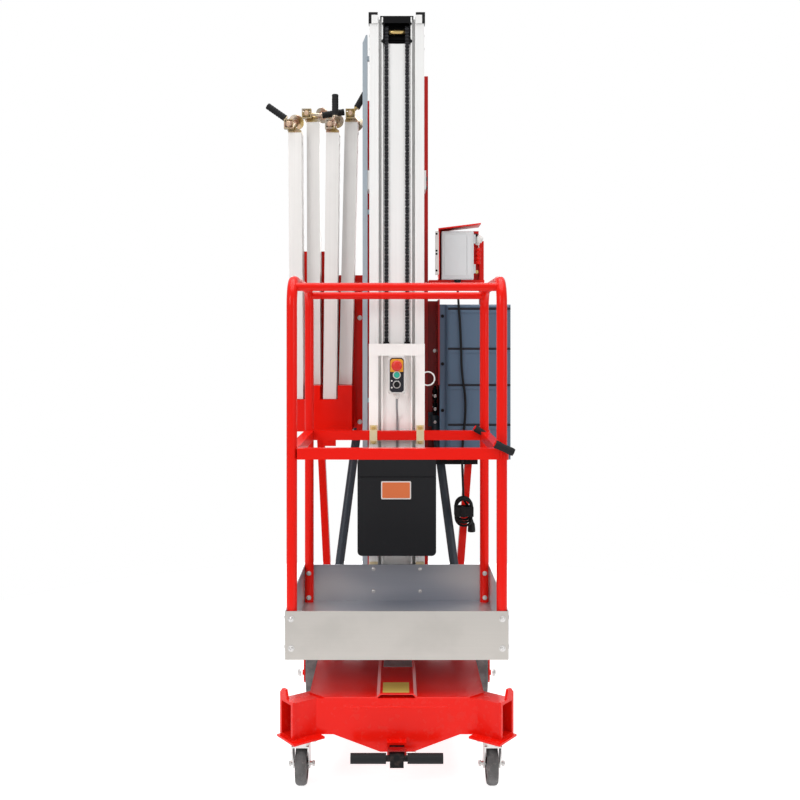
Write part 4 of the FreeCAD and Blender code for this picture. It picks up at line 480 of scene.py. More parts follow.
class Form:
    """Mesh parts gathered into one piece."""

    def __init__(self):
        self.mesh = bmesh.new()

    def lathe(self, base, axis, profile, sides=24):
        """A round form about an axis, from (distance along, radius) pairs."""
        where = Matrix.Translation(metres(base)) @ turned(axis)
        rings = []
        for along, radius in profile:
            ring = []
            count = 1 if radius <= 0.0 else sides
            for step in range(count):
                turn = 2.0 * math.pi * step / sides
                point = Vector((radius * math.cos(turn), radius * math.sin(turn), along)) * MM
                ring.append(self.mesh.verts.new(where @ point))
            rings.append(ring)
        for first, second in zip(rings, rings[1:]):
            for step in range(sides):
                after = (step + 1) % sides
                if len(first) == 1 and len(second) > 1:
                    self.mesh.faces.new((first[0], second[step], second[after]))
                elif len(second) == 1 and len(first) > 1:
                    self.mesh.faces.new((first[step], first[after], second[0]))
                elif len(first) > 1:
                    self.mesh.faces.new((first[step], first[after], second[after], second[step]))
        for ring, flip in ((rings[0], True), (rings[-1], False)):
            if len(ring) > 1:
                self.mesh.faces.new(tuple(reversed(ring)) if flip else tuple(ring))
        return self

    def rod(self, start, end, radius, sides=20):
        """A round bar with slightly broken ends."""
        way = Vector(end) - Vector(start)
        chamfer = min(radius * 0.2, way.length * 0.2)
        profile = [
            (0.0, radius - chamfer), (chamfer, radius),
            (way.length - chamfer, radius), (way.length, radius - chamfer),
        ]
        return self.lathe(start, way, profile, sides)

    def block(self, x0, x1, y0, y1, z0, z1):
        corners = [(x, y, z) for x in (x0, x1) for y in (y0, y1) for z in (z0, z1)]
        made = [self.mesh.verts.new(metres(corner)) for corner in corners]
        for quad in ((0, 1, 3, 2), (4, 6, 7, 5), (0, 4, 5, 1), (2, 3, 7, 6), (0, 2, 6, 4), (1, 5, 7, 3)):
            self.mesh.faces.new(tuple(made[index] for index in quad))
        return self

    def slab(self, outline, shift):
        """A flat outline of places pushed along a shift."""
        near = [self.mesh.verts.new(metres(place)) for place in outline]
        far = [self.mesh.verts.new(metres(Vector(place) + Vector(shift))) for place in outline]
        self.mesh.faces.new(near)
        self.mesh.faces.new(tuple(reversed(far)))
        count = len(near)
        for step in range(count):
            after = (step + 1) % count
            self.mesh.faces.new((near[after], near[step], far[step], far[after]))
        return self

    def bolt(self, place, axis, size):
        """Washer and chamfered hexagon head. size is the thread's diameter."""
        self.lathe(place, axis, scaled(WASHER, size), 20)
        base = Vector(place) + Vector(axis).normalized() * size * HEAD_BASE
        return self.lathe(base, axis, scaled(HEXAGON_HEAD, size), 6)

    def dome(self, place, axis, size):
        """Flat washer and low domed head with a socket."""
        return self.lathe(place, axis, scaled(DOMED_HEAD, size), 24)

    def make(self, name, material):
        """The gathered mesh as an object of one material."""
        bmesh.ops.recalc_face_normals(self.mesh, faces=self.mesh.faces)
        data = bpy.data.meshes.new(name)
        self.mesh.to_mesh(data)
        self.mesh.free()
        data.materials.append(material)
        return placed(name, data)

    def finish(self, name, look, body, edge=0.0, sharp=SHARP_ANGLE):
        """Make the piece, soften its edges and let it ride on a body."""
        piece = self.make(name, MATERIALS[look])
        soften(piece, edge, sharp)
        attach(piece, body)
        return piece


def rounded_outline(x0, x1, z0, z1, radius, y, steps=5):
    """Rounded rectangle facing -Y, as places."""
    places = []
    corners = ((x1, z1, 0), (x0, z1, 90), (x0, z0, 180), (x1, z0, 270))
    for x, z, start in corners:
        cx = x - radius if x == x1 else x + radius
        cz = z - radius if z == z1 else z + radius
        for step in range(steps + 1):
            turn = math.radians(start + 90.0 * step / steps)
            places.append((cx + radius * math.cos(turn), y, cz + radius * math.sin(turn)))
    return places


def turned_piece(name, look, body, base, axis, profile, sides=24, edge=0.0, sharp=SHARP_ANGLE):
    """One turned form as a piece of its own."""
    return Form().lathe(base, axis, profile, sides).finish(name, look, body, edge, sharp)


def panel(name, look, body, x0, x1, z0, z1, radius, y, depth, edge=0.0, steps=4):
    """A plate with rounded corners as a piece of its own. depth is along Y."""
    outline = rounded_outline(x0, x1, z0, z1, radius, y, steps)
    return Form().slab(outline, (0, depth, 0)).finish(name, look, body, edge)


def ridged(count, pitch, start, ridge):
    """A profile that repeats a ridge's (distance, radius) pairs at an even pitch."""
    return [(start + pitch * step + along, radius) for step in range(count) for along, radius in ridge]


def grid(xs, ys, zs):
    """Every place of a grid."""
    return [(x, y, z) for x in xs for y in ys for z in zs]


def mirrored(places):
    """Places and their mirror images on the other side."""
    return [(sign * x, y, z) for x, y, z in places for sign in (1, -1)]


# Supply lead

LEAD_RADIUS = 4.5
LEAD_ROUTE = (
    (236, 398, 1548), (236, 398, 1528), (236.5, 391, 1512), (237.5, 364, 1468), (243, 362, 1395),
    (247, 361, 1300), (249, 361, 1205), (264, 361, 1115), (263, 361, 1035), (254, 361, 955),
    (250, 361, 875), (253, 361, 800), (256, 361, 728),
)
LEAD_JOIN = ((259.5, 361, 714), (267.5, 361, 702.5), (277, 361, 692), (283.5, 361, 681))
LEAD_END = (
    (286.5, 382.5, 680), (287.5, 386, 668), (288.5, 391, 656), (288.8, 394, 644), (289, 395, 632),
)
HANK_START = 680
HANK_LAST_DEPTH = 382
HANK_STEP = 11.4
HANK_ARC = 8
# Each turn of the tied bundle: centre X, fold radius, heights of the lower and the upper fold's
# centre, and how deep it lies at its right side, at its lower fold's two ends and its upper fold
HANK = (
    (256.5, 29, 659, 698, (361, 361, 358, 351.5)),
    (258, 30, 664, 694, (350.5, 351, 348.5, 342)),
    (255.5, 29.5, 649, 700, (340.5, 341, 371, 371.5)),
    (257.5, 28.7, 668, 691, (371.5, 371.5, 381, 381.5)),
)


def eased(start, end, share):
    """From start to end with a soft beginning and end."""
    return start + (end - start) * share * share * (3 - 2 * share)


def shares(count):
    """Even shares of a stretch, from 0 up to but without 1."""
    count = max(1, count)
    return [step / count for step in range(count)]


def hank_places():
    """Loose turns of the lead's tied bundle, each a little different from the next."""
    places = []
    above = HANK_START
    for turn, after in zip(HANK, (*HANK[1:], HANK[-1])):
        x, radius, low, top, (right, low_right, low_left, top_left) = turn
        next_x, next_radius, _, _, (next_right, *_) = after
        if after is turn:
            next_right = HANK_LAST_DEPTH
        for share in shares(round((above - low) / HANK_STEP)):
            places.append((x + radius, eased(right, low_right, share), above + (low - above) * share))
        for share in shares(HANK_ARC):
            angle = -math.pi * share
            y = eased(low_right, low_left, share)
            places.append((x + radius * math.cos(angle), y, low + radius * math.sin(angle)))
        for share in shares(round((top - low) / HANK_STEP)):
            places.append((x - radius, eased(low_left, top_left, share), low + (top - low) * share))
        for share in shares(HANK_ARC):
            angle = math.pi * (1 - share)
            cx = eased(x, next_x, share)
            reach = eased(radius, next_radius, share)
            y = eased(top_left, next_right, share)
            places.append((cx + reach * math.cos(angle), y, top + reach * math.sin(angle)))
        above = top
    return places


def spline_length(piece):
    """Length of a curve's line, with no thickness, in metres."""
    data = piece.data.copy()
    data.bevel_depth = 0
    probe = bpy.data.objects.new("probe", data)
    line = bpy.data.meshes.new_from_object(probe)
    total = 0
    for edge in line.edges:
        first, second = (line.vertices[index].co for index in edge.vertices)
        total += (second - first).length
    bpy.data.objects.remove(probe)
    bpy.data.curves.remove(data)
    bpy.data.meshes.remove(line)
    return total


def cord_curve(name, places, radius, look):
    """A smooth round cord through control places."""
    data = bpy.data.curves.new(name, "CURVE")
    data.dimensions = "3D"
    data.bevel_depth = radius * MM
    data.bevel_resolution = 5
    data.use_fill_caps = True
    data.resolution_u = 10
    spline = data.splines.new("NURBS")
    spline.points.add(len(places) - 1)
    for point, place in zip(spline.points, places):
        point.co = (*metres(place), 1)
    spline.order_u = 3
    spline.use_endpoint_u = True
    data.materials.append(MATERIALS[look])
    return placed(name, data)


def make_lead():
    """The hanging supply lead, its tied turns, plug, tie and strain relief."""
    places = list(LEAD_ROUTE) + list(LEAD_JOIN) + hank_places()[1:] + list(LEAD_END)
    lead = cord_curve("supply_lead", places, LEAD_RADIUS, "cable")
    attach(lead, "chassis")
    turned_piece(
        "lead_strain_relief", "black_plastic", "chassis", (236, 398, 1566), DOWN,
        [(0, 13), (8, 13), (9, 10.5), (18, 10), (20, 7.5), (28, 6.4), (38, 5.2), (40, 4.6)],
    )
    tie = Form()
    for x0, x1, y0, y1 in (
        (221, 223, 335, 388), (291, 293, 335, 388),
        (221, 293, 333.5, 335.5), (221, 293, 386.5, 388.5),
    ):
        tie.block(x0, x1, y0, y1, 658, 695)
    tie.block(245, 262, 331, 334, 656, 697)
    tie = tie.finish("lead_tie", "black_plastic", "chassis", 0.8)
    plug = turned_piece(
        "lead_plug", "black_plastic", "chassis", (288.8, 394.5, 640), (0.02, 0.1, -1),
        [(0, 5), (4, 6.5), (12, 8.5), (20, 13), (44, 15), (50, 14.5), (50, 11), (43, 10.5), (43, 0)],
    )
    round(spline_length(lead), 2)
    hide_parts("hanging_lead", "lead_hank")


# Chains

def link_plate(form, place, way, side, half_width, thickness):
    """One figure-of-eight chain plate seen as a stadium, standing across X."""
    along = Vector(way).normalized()
    across = Vector((0, -along.z, along.y))
    reach = CHAIN_PITCH / 2
    outline = []
    for sign in (1, -1):
        for step in range(5):
            turn = math.radians(-90 + 45 * step)
            centre = Vector(place) + along * reach * sign
            offset = along * math.cos(turn) * sign + across * math.sin(turn) * sign
            outline.append(centre + offset * half_width + Vector((side, 0, 0)))
    form.slab(outline, (thickness, 0, 0))


def chain_path(distance):
    """Place and heading at a distance up the chain: straight up, then over the sprocket."""
    centre_y, centre_z = SPROCKET_CENTRE
    front = centre_y - SPROCKET_RADIUS
    straight = centre_z - CHAIN_BOTTOM
    if distance < straight:
        return (0, front, CHAIN_BOTTOM + distance), (0, 0, 1)
    turn = (distance - straight) / SPROCKET_RADIUS
    place = (0, centre_y - SPROCKET_RADIUS * math.cos(turn), centre_z + SPROCKET_RADIUS * math.sin(turn))
    return place, (0, math.sin(turn), math.cos(turn))


def make_chain(x, name):
    """A leaf chain: plates in turn wide and narrow, with a pin at each joint."""
    form = Form()
    total = SPROCKET_CENTRE[1] - CHAIN_BOTTOM + SPROCKET_RADIUS * math.pi * CHAIN_WRAP
    count = int(total // CHAIN_PITCH)
    for index in range(count):
        place, way = chain_path((index + 0.5) * CHAIN_PITCH)
        place = (x, place[1], place[2])
        sides = (-6.6, -2.8, 0.9, 4.7) if index % 2 else (-4.7, -0.95, 2.8)
        for side in sides:
            link_plate(form, place, way, side, 4.9, 1.9)
        joint, _ = chain_path(index * CHAIN_PITCH)
        form.lathe((x - 7.4, joint[1], joint[2]), RIGHT, [(0, 2.1), (14.8, 2.1)], 8)
    return form.finish(name, "chain", "mast_5", 0, 50)


def make_chains():
    """Both chains, in place of the frame's plain ones."""
    left = make_chain(-CHAIN_X, "lift_chain_left")
    right = make_chain(CHAIN_X, "lift_chain_right")
    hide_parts("lift_chains")
    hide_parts("lift_chains")


# Control station

def make_station():
    """Push-button station: grey box, dark plate, stop, start and selector."""
    y = STATION_FRONT
    face = y - 1.6
    outer = rounded_outline(-31, 31, STATION_BOTTOM, STATION_TOP, 7, CARRIAGE_FRONT - 0.2)
    inner = rounded_outline(-30, 30, STATION_BOTTOM + 1, STATION_TOP - 1, 6.5, y + 9.2)
    body = Form().slab(outer, (0, -50, 0)).slab(inner, (0, -9.2, 0))
    body = body.finish("station_body", "station", "platform", 1.2)
    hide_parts("control_station")
    cut = 7
    plate = [
        (-25 + cut, y, 1146), (25 - cut, y, 1146), (25, y, 1146 + cut), (25, y, 1268 - cut),
        (25 - cut, y, 1268), (-25 + cut, y, 1268), (-25, y, 1268 - cut), (-25, y, 1146 + cut),
    ]
    Form().slab(plate, (0, -1.6, 0)).finish("station_plate", "dark_grey", "platform", 0.4)
    square = [
        (-23, face, 1218), (23, face, 1218), (23, face, 1264 - cut), (23 - cut, face, 1264),
        (-23 + cut, face, 1264), (-23, face, 1264 - cut),
    ]
    Form().slab(square, (0, -1.2, 0)).finish("stop_backing", "yellow", "platform", 0.3)
    stop = [(0, 12), (9, 12), (10, 17), (13, 19), (17, 19), (21, 17), (23, 12.5), (24, 0)]
    turned_piece("stop_button", "stop_red", "platform", (0, y - 2.8, 1240), FRONT, stop, 40, 0, 50)
    ring = [(0, 14), (3, 14), (4, 13), (4, 11), (2, 10.6), (2, 0)]
    turned_piece("start_bezel", "label_white", "platform", (0, face, 1207), FRONT, ring, 36)
    press = [(0, 10.4), (4, 10.4), (5.5, 9), (6, 0)]
    turned_piece("start_button", "go_green", "platform", (0, y - 3.6, 1207), FRONT, press, 32)
    turned_piece("selector_bezel", "steel", "platform", (0, face, 1173), FRONT, ring, 36)
    knob = Form().lathe((0, y - 3.6, 1173), FRONT, [(0, 10.4), (3, 10.4), (4, 9.4), (4, 0)], 32)
    turn = math.radians(12)
    lever = [
        (x * math.cos(turn) - z * math.sin(turn), y - 7.6, 1173 + (x * math.sin(turn) + z * math.cos(turn)))
        for x, z in ((-9, -3.6), (9, -2.6), (9, 2.6), (-9, 3.6))
    ]
    knob.slab(lever, (0, -8, 0)).finish("selector_knob", "black_plastic", "platform", 0.6)
    marks = Form()
    for z in (1186, 1162):
        marks.lathe((-18, face, z), FRONT, [(0, 3), (1.2, 3), (2, 2), (2.2, 0)], 16)
    marks.finish("station_marks", "label_white", "platform")
    screws = Form()
    for x, z in ((-27.2, 1143.2), (27.2, 1143.2), (-27.2, 1270.8), (27.2, 1270.8)):
        screws.lathe((x, y, z), FRONT, [(0, 2.2), (0.8, 2), (1.1, 0)], 12)
    screws.finish("station_screws", "steel", "platform")
    gland = [(0, 12), (4, 12), (5, 10.5), (11, 10.5), (12, 9), (17, 8.2), (19, 5.2)]
    turned_piece("station_gland", "label_white", "platform", (0, 108.5, STATION_BOTTOM), DOWN, gland)


# Fasteners

def caster_bolt_places(along, across):
    """Bolt places under the turned caster plates."""
    places = []
    for side in (-1, 1):
        turn = -side * SOCKET_ANGLE
        for u in (-along, along):
            for v in (-across, across):
                x = side * CASTER_X + u * math.cos(turn) - v * math.sin(turn)
                y = CASTER_Y + u * math.sin(turn) + v * math.cos(turn)
                places.append((x, y, 150))
    return places


# Name, material, body, kind, thread size, axis and places
BOLTS = (
    ("toe_board_bolts", "steel", "platform", "dome", 8, FRONT,
     mirrored(grid((315,), (BOARD_FACE_Y,), (498, 410)))),
    ("side_board_bolts_right", "steel", "platform", "dome", 7, RIGHT,
     grid((SIDE_BOARD_X,), (-478, 122), (498, 410))),
    ("side_board_bolts_left", "steel", "platform", "dome", 7, LEFT,
     grid((-SIDE_BOARD_X,), (-478, 122), (498, 410))),
    ("rear_post_bolts", "steel", "platform", "dome", 7, FRONT, mirrored(grid((315,), (106.4,), (495, 408)))),
    ("rear_board_bolts", "steel", "platform", "dome", 6, FRONT, mirrored(grid((84,), (131.5,), (505, 425)))),
    ("saddle_bolts", "brass", "platform", "bolt", 8, FRONT, mirrored(grid((84,), (135.5,), (1014.5, 963.5)))),
    ("caster_bolts", "steel", "chassis", "bolt", 8, DOWN, caster_bolt_places(31, 27)),
    ("strap_bolts_right", "black", "chassis", "bolt", 8, RIGHT, grid((114,), (485, 508), (1936, 1973))),
    ("strap_bolts_left", "black", "chassis", "bolt", 8, LEFT, grid((-114,), (485, 508), (1936, 1973))),
    ("panel_bolts", "steel", "chassis", "bolt", 7, FRONT,
     [(152, 532, 1290), (150, 532, 1110), (150, 532, 1068)]),
    ("cover_flange_bolts", "black", "chassis", "bolt", 6, FRONT,
     grid((177,), (COVER_FLANGE_Y,), (1425, 1240, 1060, 910))),
    ("column_back_bolts", "steel", "chassis", "bolt", 10, BACK,
     mirrored(grid((96,), (COLUMN_BACK,), (330, 690, 1130, 1700, 2060, 2250)))),
    ("unit_back_bolts", "steel", "chassis", "dome", 7, BACK,
     grid((180, 303, 426), (UNIT_BACK,), (890, 1110, 1450))),
    ("box_back_bolts", "steel", "chassis", "dome", 6, BACK, grid((190, 280), (BOX_BACK,), (1590, 1725))),
    ("rack_back_bolts", "steel", "chassis", "bolt", 9, BACK,
     grid((-390, -290, -180), (RACK_BACK,), (1085, 1260)) + grid((-310, -200), (RACK_BACK,), (1560,))),
    ("mast_3_screws_right", "steel", "mast_3", "dome", 6, RIGHT, grid((MAST_SIDE,), (345,), (2410, 2460))),
    ("mast_4_screws_right", "steel", "mast_4", "dome", 6, RIGHT, grid((MAST_SIDE,), (280,), (2425, 2475))),
    ("mast_3_screws_left", "steel", "mast_3", "dome", 6, LEFT, grid((-MAST_SIDE,), (345,), (2410, 2460))),
    ("mast_4_screws_left", "steel", "mast_4", "dome", 6, LEFT, grid((-MAST_SIDE,), (280,), (2425, 2475))),
    ("rack_bolts", "steel", "chassis", "bolt", 9, FRONT, grid((-146,), (470,), (1010, 1420))),
)
MAIN_AXLE = (290, 80)
CASTER_AXLE = (CASTER_Y + 37, 62.5)


def make_bolts():
    """Every row of the table, and the nuts at the ends of the axles."""
    for name, look, body, kind, size, axis, places in BOLTS:
        form = Form()
        for place in places:
            make = form.dome if kind == "dome" else form.bolt
            make(place, axis, size)
        form.finish(name, look, body)
    for label, side in (("left", -1), ("right", 1)):
        form = Form().bolt((side * 360.5, *MAIN_AXLE), (side, 0, 0), 14)
        form.bolt((side * 274.5, *MAIN_AXLE), (-side, 0, 0), 14)
        form.finish(f"axle_nuts_{label}", "steel", "chassis")
        form = Form()
        for way in (-1, 1):
            form.bolt((side * CASTER_X + way * 32, *CASTER_AXLE), (way, 0, 0), 9)
        form.finish(f"caster_nuts_{label}", "steel", f"caster_fork_{label}")


# Outrigger jacks and grips

JACK_HEIGHT = 1040
CRANK_REACH = 63
JACK_KEYS = ("name", "body", "y", "ledge", "foot_x", "head_x", "shift", "from", "to")
JACKS = [dict(zip(JACK_KEYS, row)) for row in (
    ("outrigger_1", "outrigger_1", 367, 1107, -381, -388, -20, (-10, 20), (-80, 69)),
    ("outrigger_2", "outrigger_2", 427, 1160, -320, -323, -23, (57, -6), (143, 7)),
    ("outrigger_3", "chassis", 367, 1107, -255, -244, -9, (20, 30), (20, 111)),
    ("outrigger_4", "outrigger_4", 427, 1160, -199, -175, -3, (23, 21), (56, 79)),
)]
ENTRY_GRIPS = {
    "entry_grip_front": ((288, -513, 1023), (346, -513, 996)),
    "entry_grip_rear": ((276, 95, 1019), (332, 95, 984)),
}


def jack_axis(row):
    """Where an outrigger's screw axis crosses the beam's plane."""
    lean = math.atan2(row["head_x"] - row["foot_x"], JACK_HEIGHT)
    x = row["foot_x"] + row["shift"] * math.cos(lean) + JACK_HEIGHT * math.sin(lean)
    z = row["ledge"] + 1 + JACK_HEIGHT * math.cos(lean) - row["shift"] * math.sin(lean)
    return x, row["y"], z


def make_grips():
    """Black rubber grips over the jacks' cranks and the entry bar's handles."""
    for row in JACKS:
        x, y, z = jack_axis(row)
        start, end = (Vector((x + dx, y - CRANK_REACH, z + dz)) for dx, dz in (row["from"], row["to"]))
        way = end - start
        length = way.length
        profile = [(2, 9), (3, 12)]
        profile += ridged(7, (length - 14) / 7, 6, [(0, 12.6), (3, 12.6), (4, 11.9), (6, 11.9)])
        profile += [(length - 2, 12.6), (length + 1.5, 11), (length + 2, 0)]
        turned_piece(f"{row['name']}_grip", "grip", row["body"], start, way, profile)
    for name, (start, end) in ENTRY_GRIPS.items():
        way = Vector(end) - Vector(start)
        length = way.length
        profile = [
            (4, 9), (4.5, 11.5), (8, 12.5), (length * 0.5, 11), (length - 4, 12),
            (length + 1, 10.5), (length + 1.5, 0),
        ]
        turned_piece(name, "grip", "entry_bar", start, way, profile)


def make_jack_pins():
    """Screw ends and clamp bolts at each outrigger's head."""
    for row in JACKS:
        x, y, z = jack_axis(row)
        profile = [(0, 8.6), (4, 8.6), (5.2, 7.4), (5.2, 0)]
        turned_piece(f"{row['name']}_screw_end", "copper", row["body"], (x, y - 74.5, z), FRONT, profile)
        x -= row["shift"]
        form = Form()
        for side, drop in ((-1, 34), (1, 34), (1, 64)):
            form.bolt((x + side * 21.6, y - 6, z - drop), (side, 0, 0), 6)
        form.bolt((x, y - 29, z - 46), FRONT, 6)
        form.finish(f"{row['name']}_head_bolts", "steel", row["body"])


# Plates, head and control box

def make_plates():
    """Bare plates on the deck and nose, and the tool box's label."""
    y = TOOLBOX_FRONT
    panel("label_border", "label_white", "platform", -55, 50, 773, 836, 4, y, -0.6, steps=3)
    panel("toolbox_label", "label", "platform", -51, 46, 777, 832, 3, y - 0.6, -0.5, steps=3)
    for name, look, x1, y0, y1 in (
        ("deck_plate", "steel", 49, -262, -200), ("deck_yellow_plate", "plate_yellow", 37, -499, -411),
    ):
        outline = [(-42, y0, DECK_TOP), (x1, y0, DECK_TOP), (x1, y1, DECK_TOP), (-42, y1, DECK_TOP)]
        Form().slab(outline, (0, 0, 1)).finish(name, look, "chassis", 0.3)


def make_head_parts():
    """Roller, nuts, plates and chain ends at the mast's head and on the carriage."""
    y, z = SPROCKET_CENTRE
    roller = [(0, 7.6), (1.5, 8.6), (60.5, 8.6), (62, 7.6)]
    turned_piece("head_roller", "brass", "mast_5", (-31, y, z), RIGHT, roller, 28)
    nuts = Form()
    for side in (-1, 1):
        nuts.bolt((side * 50, MAST_FRONT - 1, z - 42), FRONT, 6.5)
        nuts.bolt((side * 50, MAST_FRONT - 1, z + 22), FRONT, 5)
    nuts.finish("head_nuts", "black", "mast_5")
    back = Form().slab(rounded_outline(-56, 56, 2429, 2519, 4, 258, 3), (0, -1.6, 0))
    for z in (2444, 2452):
        back.rod((-28, 253, z), (28, 253, z), 3, 12)
    back.finish("head_back", "black", "mast_5", 0.4)
    plates = Form()
    for side in (-1, 1):
        corners = ((206.8, 2436), (206.8, 2496), (250, 2496), (250, 2436))
        plates.slab([(side * 52, y, z) for y, z in corners], (side * 1.5, 0, 0))
    plates.finish("head_side_plates", "zinc", "mast_5", 0.3)
    ends = Form()
    for x in (-CHAIN_X, CHAIN_X):
        ends.lathe((x, 214, 1318.5), UP, [(0, 8.5), (3, 8.5), (3.5, 6.5), (15, 6.5), (16, 5)], 20)
        ends.lathe((x, 214, 1318.5), UP, [(0, 10.5), (6.5, 10.5), (7.5, 9)], 6)
    ends.finish("chain_anchors", "black", "platform", 0)


def make_cap_faces():
    """Bare mast metal inside each corner cap's black strips."""
    faces = Form()
    for side in (-1, 1):
        near, far = sorted((side * 69.4, side * 93))
        faces.slab(rounded_outline(near, far, 2496, 2528, 1, 200.5, 2), (0, -0.8, 0))
    faces.finish("corner_cap_faces", "mast", "mast_5", 0.2)


def make_box_parts():
    """Raised frame, panel and hinge rail of the control box's door."""
    x0, x1, z0, z1 = 176, 292, 1571, 1746
    y = BOX_FRONT - 2.2
    look, body = "light_grey", "control_door"
    panel("box_door_frame", look, body, x0, x1, z0, z1, 7, BOX_FRONT, -2.2, 1.4)
    panel("box_door_panel", look, body, x0 + 7, x1 - 24, z0 + 8, z1 - 8, 4, y, -2.4, 2)
    panel("box_door_rail", look, body, x1 - 21, x1 - 5, z0 + 8, z1 - 8, 3, y, -1.6, 1.2)


def make_side_parts():
    """Fittings beside the control box, painted shade in the power cover's grooves with lips beside them, and
    the handle's pin.
    """
    latch = [(0, 7), (3, 7), (4, 5.5), (12, 5.5), (13, 4)]
    turned_piece("box_latch", "black_plastic", "chassis", (300, 386, 1738), RIGHT, latch, 20)
    cap = [(0, 9), (12, 9), (13, 15), (30, 16), (34, 13), (35, 0)]
    turned_piece("filler_cap", "label_white", "chassis", (313, 410, 1704), (0.25, -0.5, 1), cap, 28)
    sleeve = ridged(4, 17, 0, [(0, 8), (2, 11.5), (11, 11.5), (13, 8)])
    turned_piece("coupling_sleeve", "red", "chassis", (314, 404, 1626), (0.04, 0, 1), sleeve)
    y = BOX_FRONT - 1
    panel("wiring_strip", "label_white", "chassis", 148, 162, 1583, 1752, 3, y, 12, 1)
    dots = Form()
    for z in (1741, 1676, 1664, 1600):
        dots.dome((153, y, z), FRONT, 3.4)
    dots.finish("strip_screws", "black", "chassis")
    Form().bolt((308.5, 398, 1596), FRONT, 7).finish("gland_bolt", "brass", "chassis")
    lines, lips = Form(), Form()
    y = COVER_FRONT + 0.5
    for low in COVER_GROOVES:
        # Painted shade: dark slabs in each groove and along the cover's side
        lines.block(197, 438.2, COVER_FRONT + 0.9, COVER_FRONT + 2, low + 0.5, low + 8.5)
        lines.block(438, 439.2, COVER_FRONT + 12, COVER_BACK, low + 0.5, low + 8.5)
        lips.slab(rounded_outline(203, 428, low - 11, low - 1, 4.5, y, 4), (0, -3.2, 0))
        lips.slab(rounded_outline(203, 428, low + 10, low + 15, 2.2, y, 3), (0, -2, 0))
    lines.finish("cover_groove_painted_shade", "dark_grey", "chassis", 0.2)
    lips.finish("cover_lips", "cover", "chassis", 1.4)
    pin = Form().lathe((26, -531, 112), RIGHT, [(0, 4), (1, 5), (30, 5), (31, 4)], 16)
    pin.bolt((20, -531, 112), LEFT, 5).finish("handle_pin", "steel", "towing_handle")


# Back of the lift

def make_unit_back():
    """Louvres, black painted shade in the slots under them, and the lock at the back of the power unit."""
    louvres, slot_shade = Form(), Form()
    for x in (196, 318):
        for row in range(8):
            z = 1180 + 29 * row
            louvres.slab(rounded_outline(x, x + 92, z, z + 12, 5.5, UNIT_BACK, 4), (0, 5, 0))
            # Painted shade: a black strip in the slot under each louvre
            slot_shade.block(x + 4, x + 88, UNIT_BACK - 0.4, UNIT_BACK + 2.5, z - 2.8, z - 0.2)
    # Painted shade: the louvres take the deep red of the shaded band on the panel behind them
    louvres.finish("unit_louvres", "deep_red", "chassis", 2.4)
    slot_shade.finish("unit_louvre_slot_shade", "black", "chassis")
    barrel = [(0, 15), (2, 15), (3, 13.5), (7, 12.5), (8, 11), (5, 9), (5, 0)]
    lock = Form().lathe((303, UNIT_BACK, 1040), BACK, barrel, 32)
    lock.block(301, 305, UNIT_BACK + 5, UNIT_BACK + 8, 1034, 1046)
    lock.finish("unit_lock", "black_plastic", "chassis", 0.3)


# Blank plates that look to the rear: extents in X and Z, and the face that they lie on
WHITE_PLATES = (
    (262, 344, 940, 990, UNIT_BACK), (-44, 44, 1390, 1446, COLUMN_BACK), (208, 262, 1640, 1676, BOX_BACK),
)
YELLOW_PLATES = (
    (-58, 58, 1500, 1572, COLUMN_BACK), (-335, -245, 1390, 1450, RACK_BACK), (-70, 70, 205, 243, FRAME_BACK),
)


def rear_plates(rows):
    """The plates of a table in one form."""
    form = Form()
    for x0, x1, z0, z1, y in rows:
        form.slab(rounded_outline(x0, x1, z0, z1, 4, y, 4), (0, 1.2, 0))
    return form


def make_back_plates():
    """The blank plates at the back, and one on each side of the base."""
    rear_plates(WHITE_PLATES).finish("back_label_plates", "label_white", "chassis", 0.3)
    signs = rear_plates(YELLOW_PLATES)
    for side in (-1, 1):
        outline = [(side * 255, y, z) for y, z in ((-130, 203), (20, 203), (20, 243), (-130, 243))]
        signs.slab(outline, (side * 1.2, 0, 0))
    signs.finish("sign_plates", "plate_yellow", "chassis", 0.3)


def make_back_lines():
    """Pressure pipe and cable duct up the column's back."""
    x, y = 70, 530
    pipe = Form().rod((x, y + 13, 336), (x, y + 13, 1004), 5)
    for z in (336, 1004):
        pipe.rod((x, y, z), (x, y + 18, z), 7.5, 24)
        pipe.lathe((x, y, z), BACK, [(0, 13), (7, 13), (8.5, 11.5)], 6)
    for z in (460, 670, 880):
        pipe.block(x - 12, x + 12, COLUMN_BACK, COLUMN_BACK + 20, z - 7, z + 7)
        for side in (-1, 1):
            pipe.bolt((x + side * 7, COLUMN_BACK + 20, z), BACK, 4)
    pipe.finish("pressure_pipe", "zinc", "chassis", 0.6)
    duct = Form().block(-70, -38, COLUMN_BACK, 543, 300, 2290)
    duct.block(-71.5, -36.5, 541, 546, 300, 2290)
    for joint in range(6):
        z = 470 + 330 * joint
        duct.block(-72.5, -35.5, 540, 547.2, z, z + 16)
    duct.finish("cable_duct", "black_plastic", "chassis", 1)


def weld(form, start, end, radius=3.2):
    """A rippled weld bead along a seam."""
    way = Vector(end) - Vector(start)
    count = max(4, int(way.length / 4))
    pitch = way.length / count
    ripples = ridged(count, pitch, pitch * 0.5, [(-0.3 * pitch, radius * 0.86), (0.2 * pitch, radius)])
    return form.lathe(start, way, [(0, 0), *ripples, (way.length, 0)], 10)


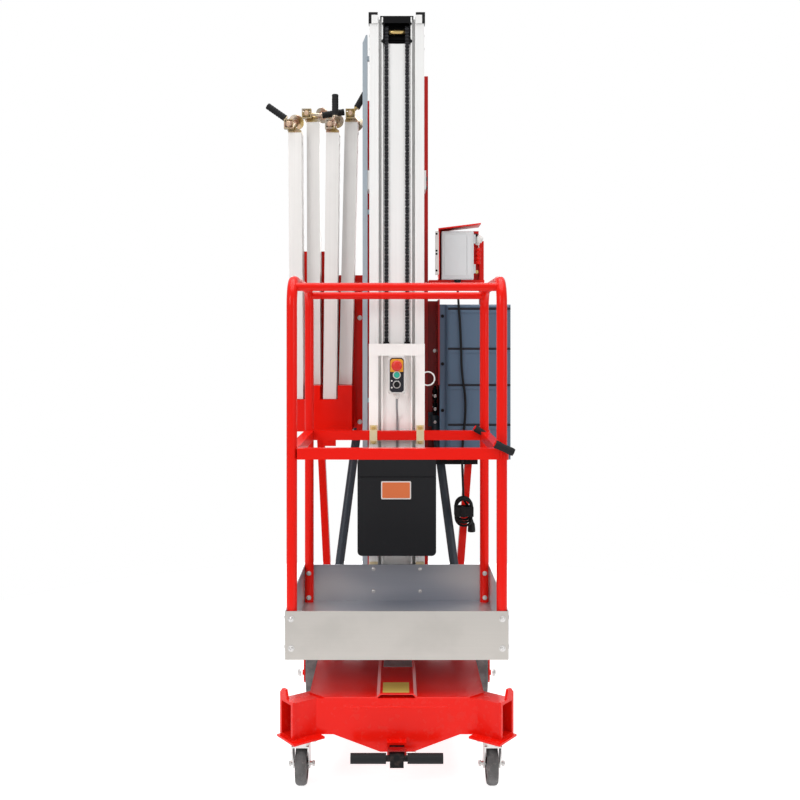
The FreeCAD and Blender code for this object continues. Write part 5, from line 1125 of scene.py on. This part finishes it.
def make_welds():
    """Weld beads at the base's seams."""
    beads = Form()
    for side in (-1, 1):
        weld(beads, (side * 127, 530, 272.5), (side * 127, 580, 272.5))
        weld(beads, (side * 256.5, -455, 185), (side * 256.5, -455, 262))
    weld(beads, (-120, 531, 272.5), (120, 531, 272.5))
    weld(beads, (-150, -588.6, 268.6), (150, -588.6, 268.6), 2.2)
    beads.finish("weld_beads", "red", "chassis", 0, 60)


def make_back_fittings():
    """Drawbar collar, valve stack with its unions, and the power cover's latches."""
    collar = Form()
    outer, inner = 25.5, 22.3
    for x0, x1, z0, z1 in (
        (-outer, outer, 138.3, 142), (-outer, -inner, 118, 138.3), (inner, outer, 118, 138.3),
    ):
        collar.block(x0, x1, -588, -560, z0, z1)
    collar.finish("drawbar_collar", "deep_red", "towing_handle", 0.8)
    profile = [(0, 7)] + ridged(6, 26, 4, [(0, 7), (2, 10), (15, 10), (17, 6)]) + [(166, 5)]
    turned_piece("valve_stack", "black", "chassis", (152, 508, 985), UP, profile)
    unions = Form()
    for z in (1006, 1058, 1110):
        unions.lathe((152, 508, z), FRONT, [(0, 7.5), (16, 7.5), (17, 6), (21, 5.5)], 6)
    unions.finish("valve_unions", "steel", "chassis")
    latches = Form()
    for z in (1370, 940):
        latches.block(440, 446, 560, COVER_BACK, z - 22, z + 22)
        latches.block(446, 452, 566, 584, z - 16, z + 18)
        latches.rod((448, 562, z - 14), (448, 588, z - 14), 3, 12)
    latches.finish("cover_latches", "black", "chassis", 1.2)


FLOOR_RADIUS = 2600
FLOOR_GLOW = 1.9


def make_floor():
    """Plain pale floor, which isn't part of the object."""
    form = Form().lathe((0, 0, -0.5), DOWN, [(0, FLOOR_RADIUS), (3, FLOOR_RADIUS)], 96)
    p = Paint("pale_floor", emission_strength=FLOOR_GLOW)
    tone = p.mix(p.noise(1.5), (0.44, 0.44, 0.44), (0.46, 0.46, 0.46))
    look = p.set(base_color=tone, emission_color=tone, roughness=p.noise(5) * 0.1 + 0.7)
    form.make("floor", look)


make_camera()
make_lead()
make_lights()
make_world()
dress_nodes()
make_chains()
make_station()
make_bolts()
make_plates()
make_grips()
make_jack_pins()
make_head_parts()
make_cap_faces()
make_box_parts()
make_side_parts()
make_unit_back()
make_back_plates()
make_back_lines()
make_welds()
make_back_fittings()
make_floor()
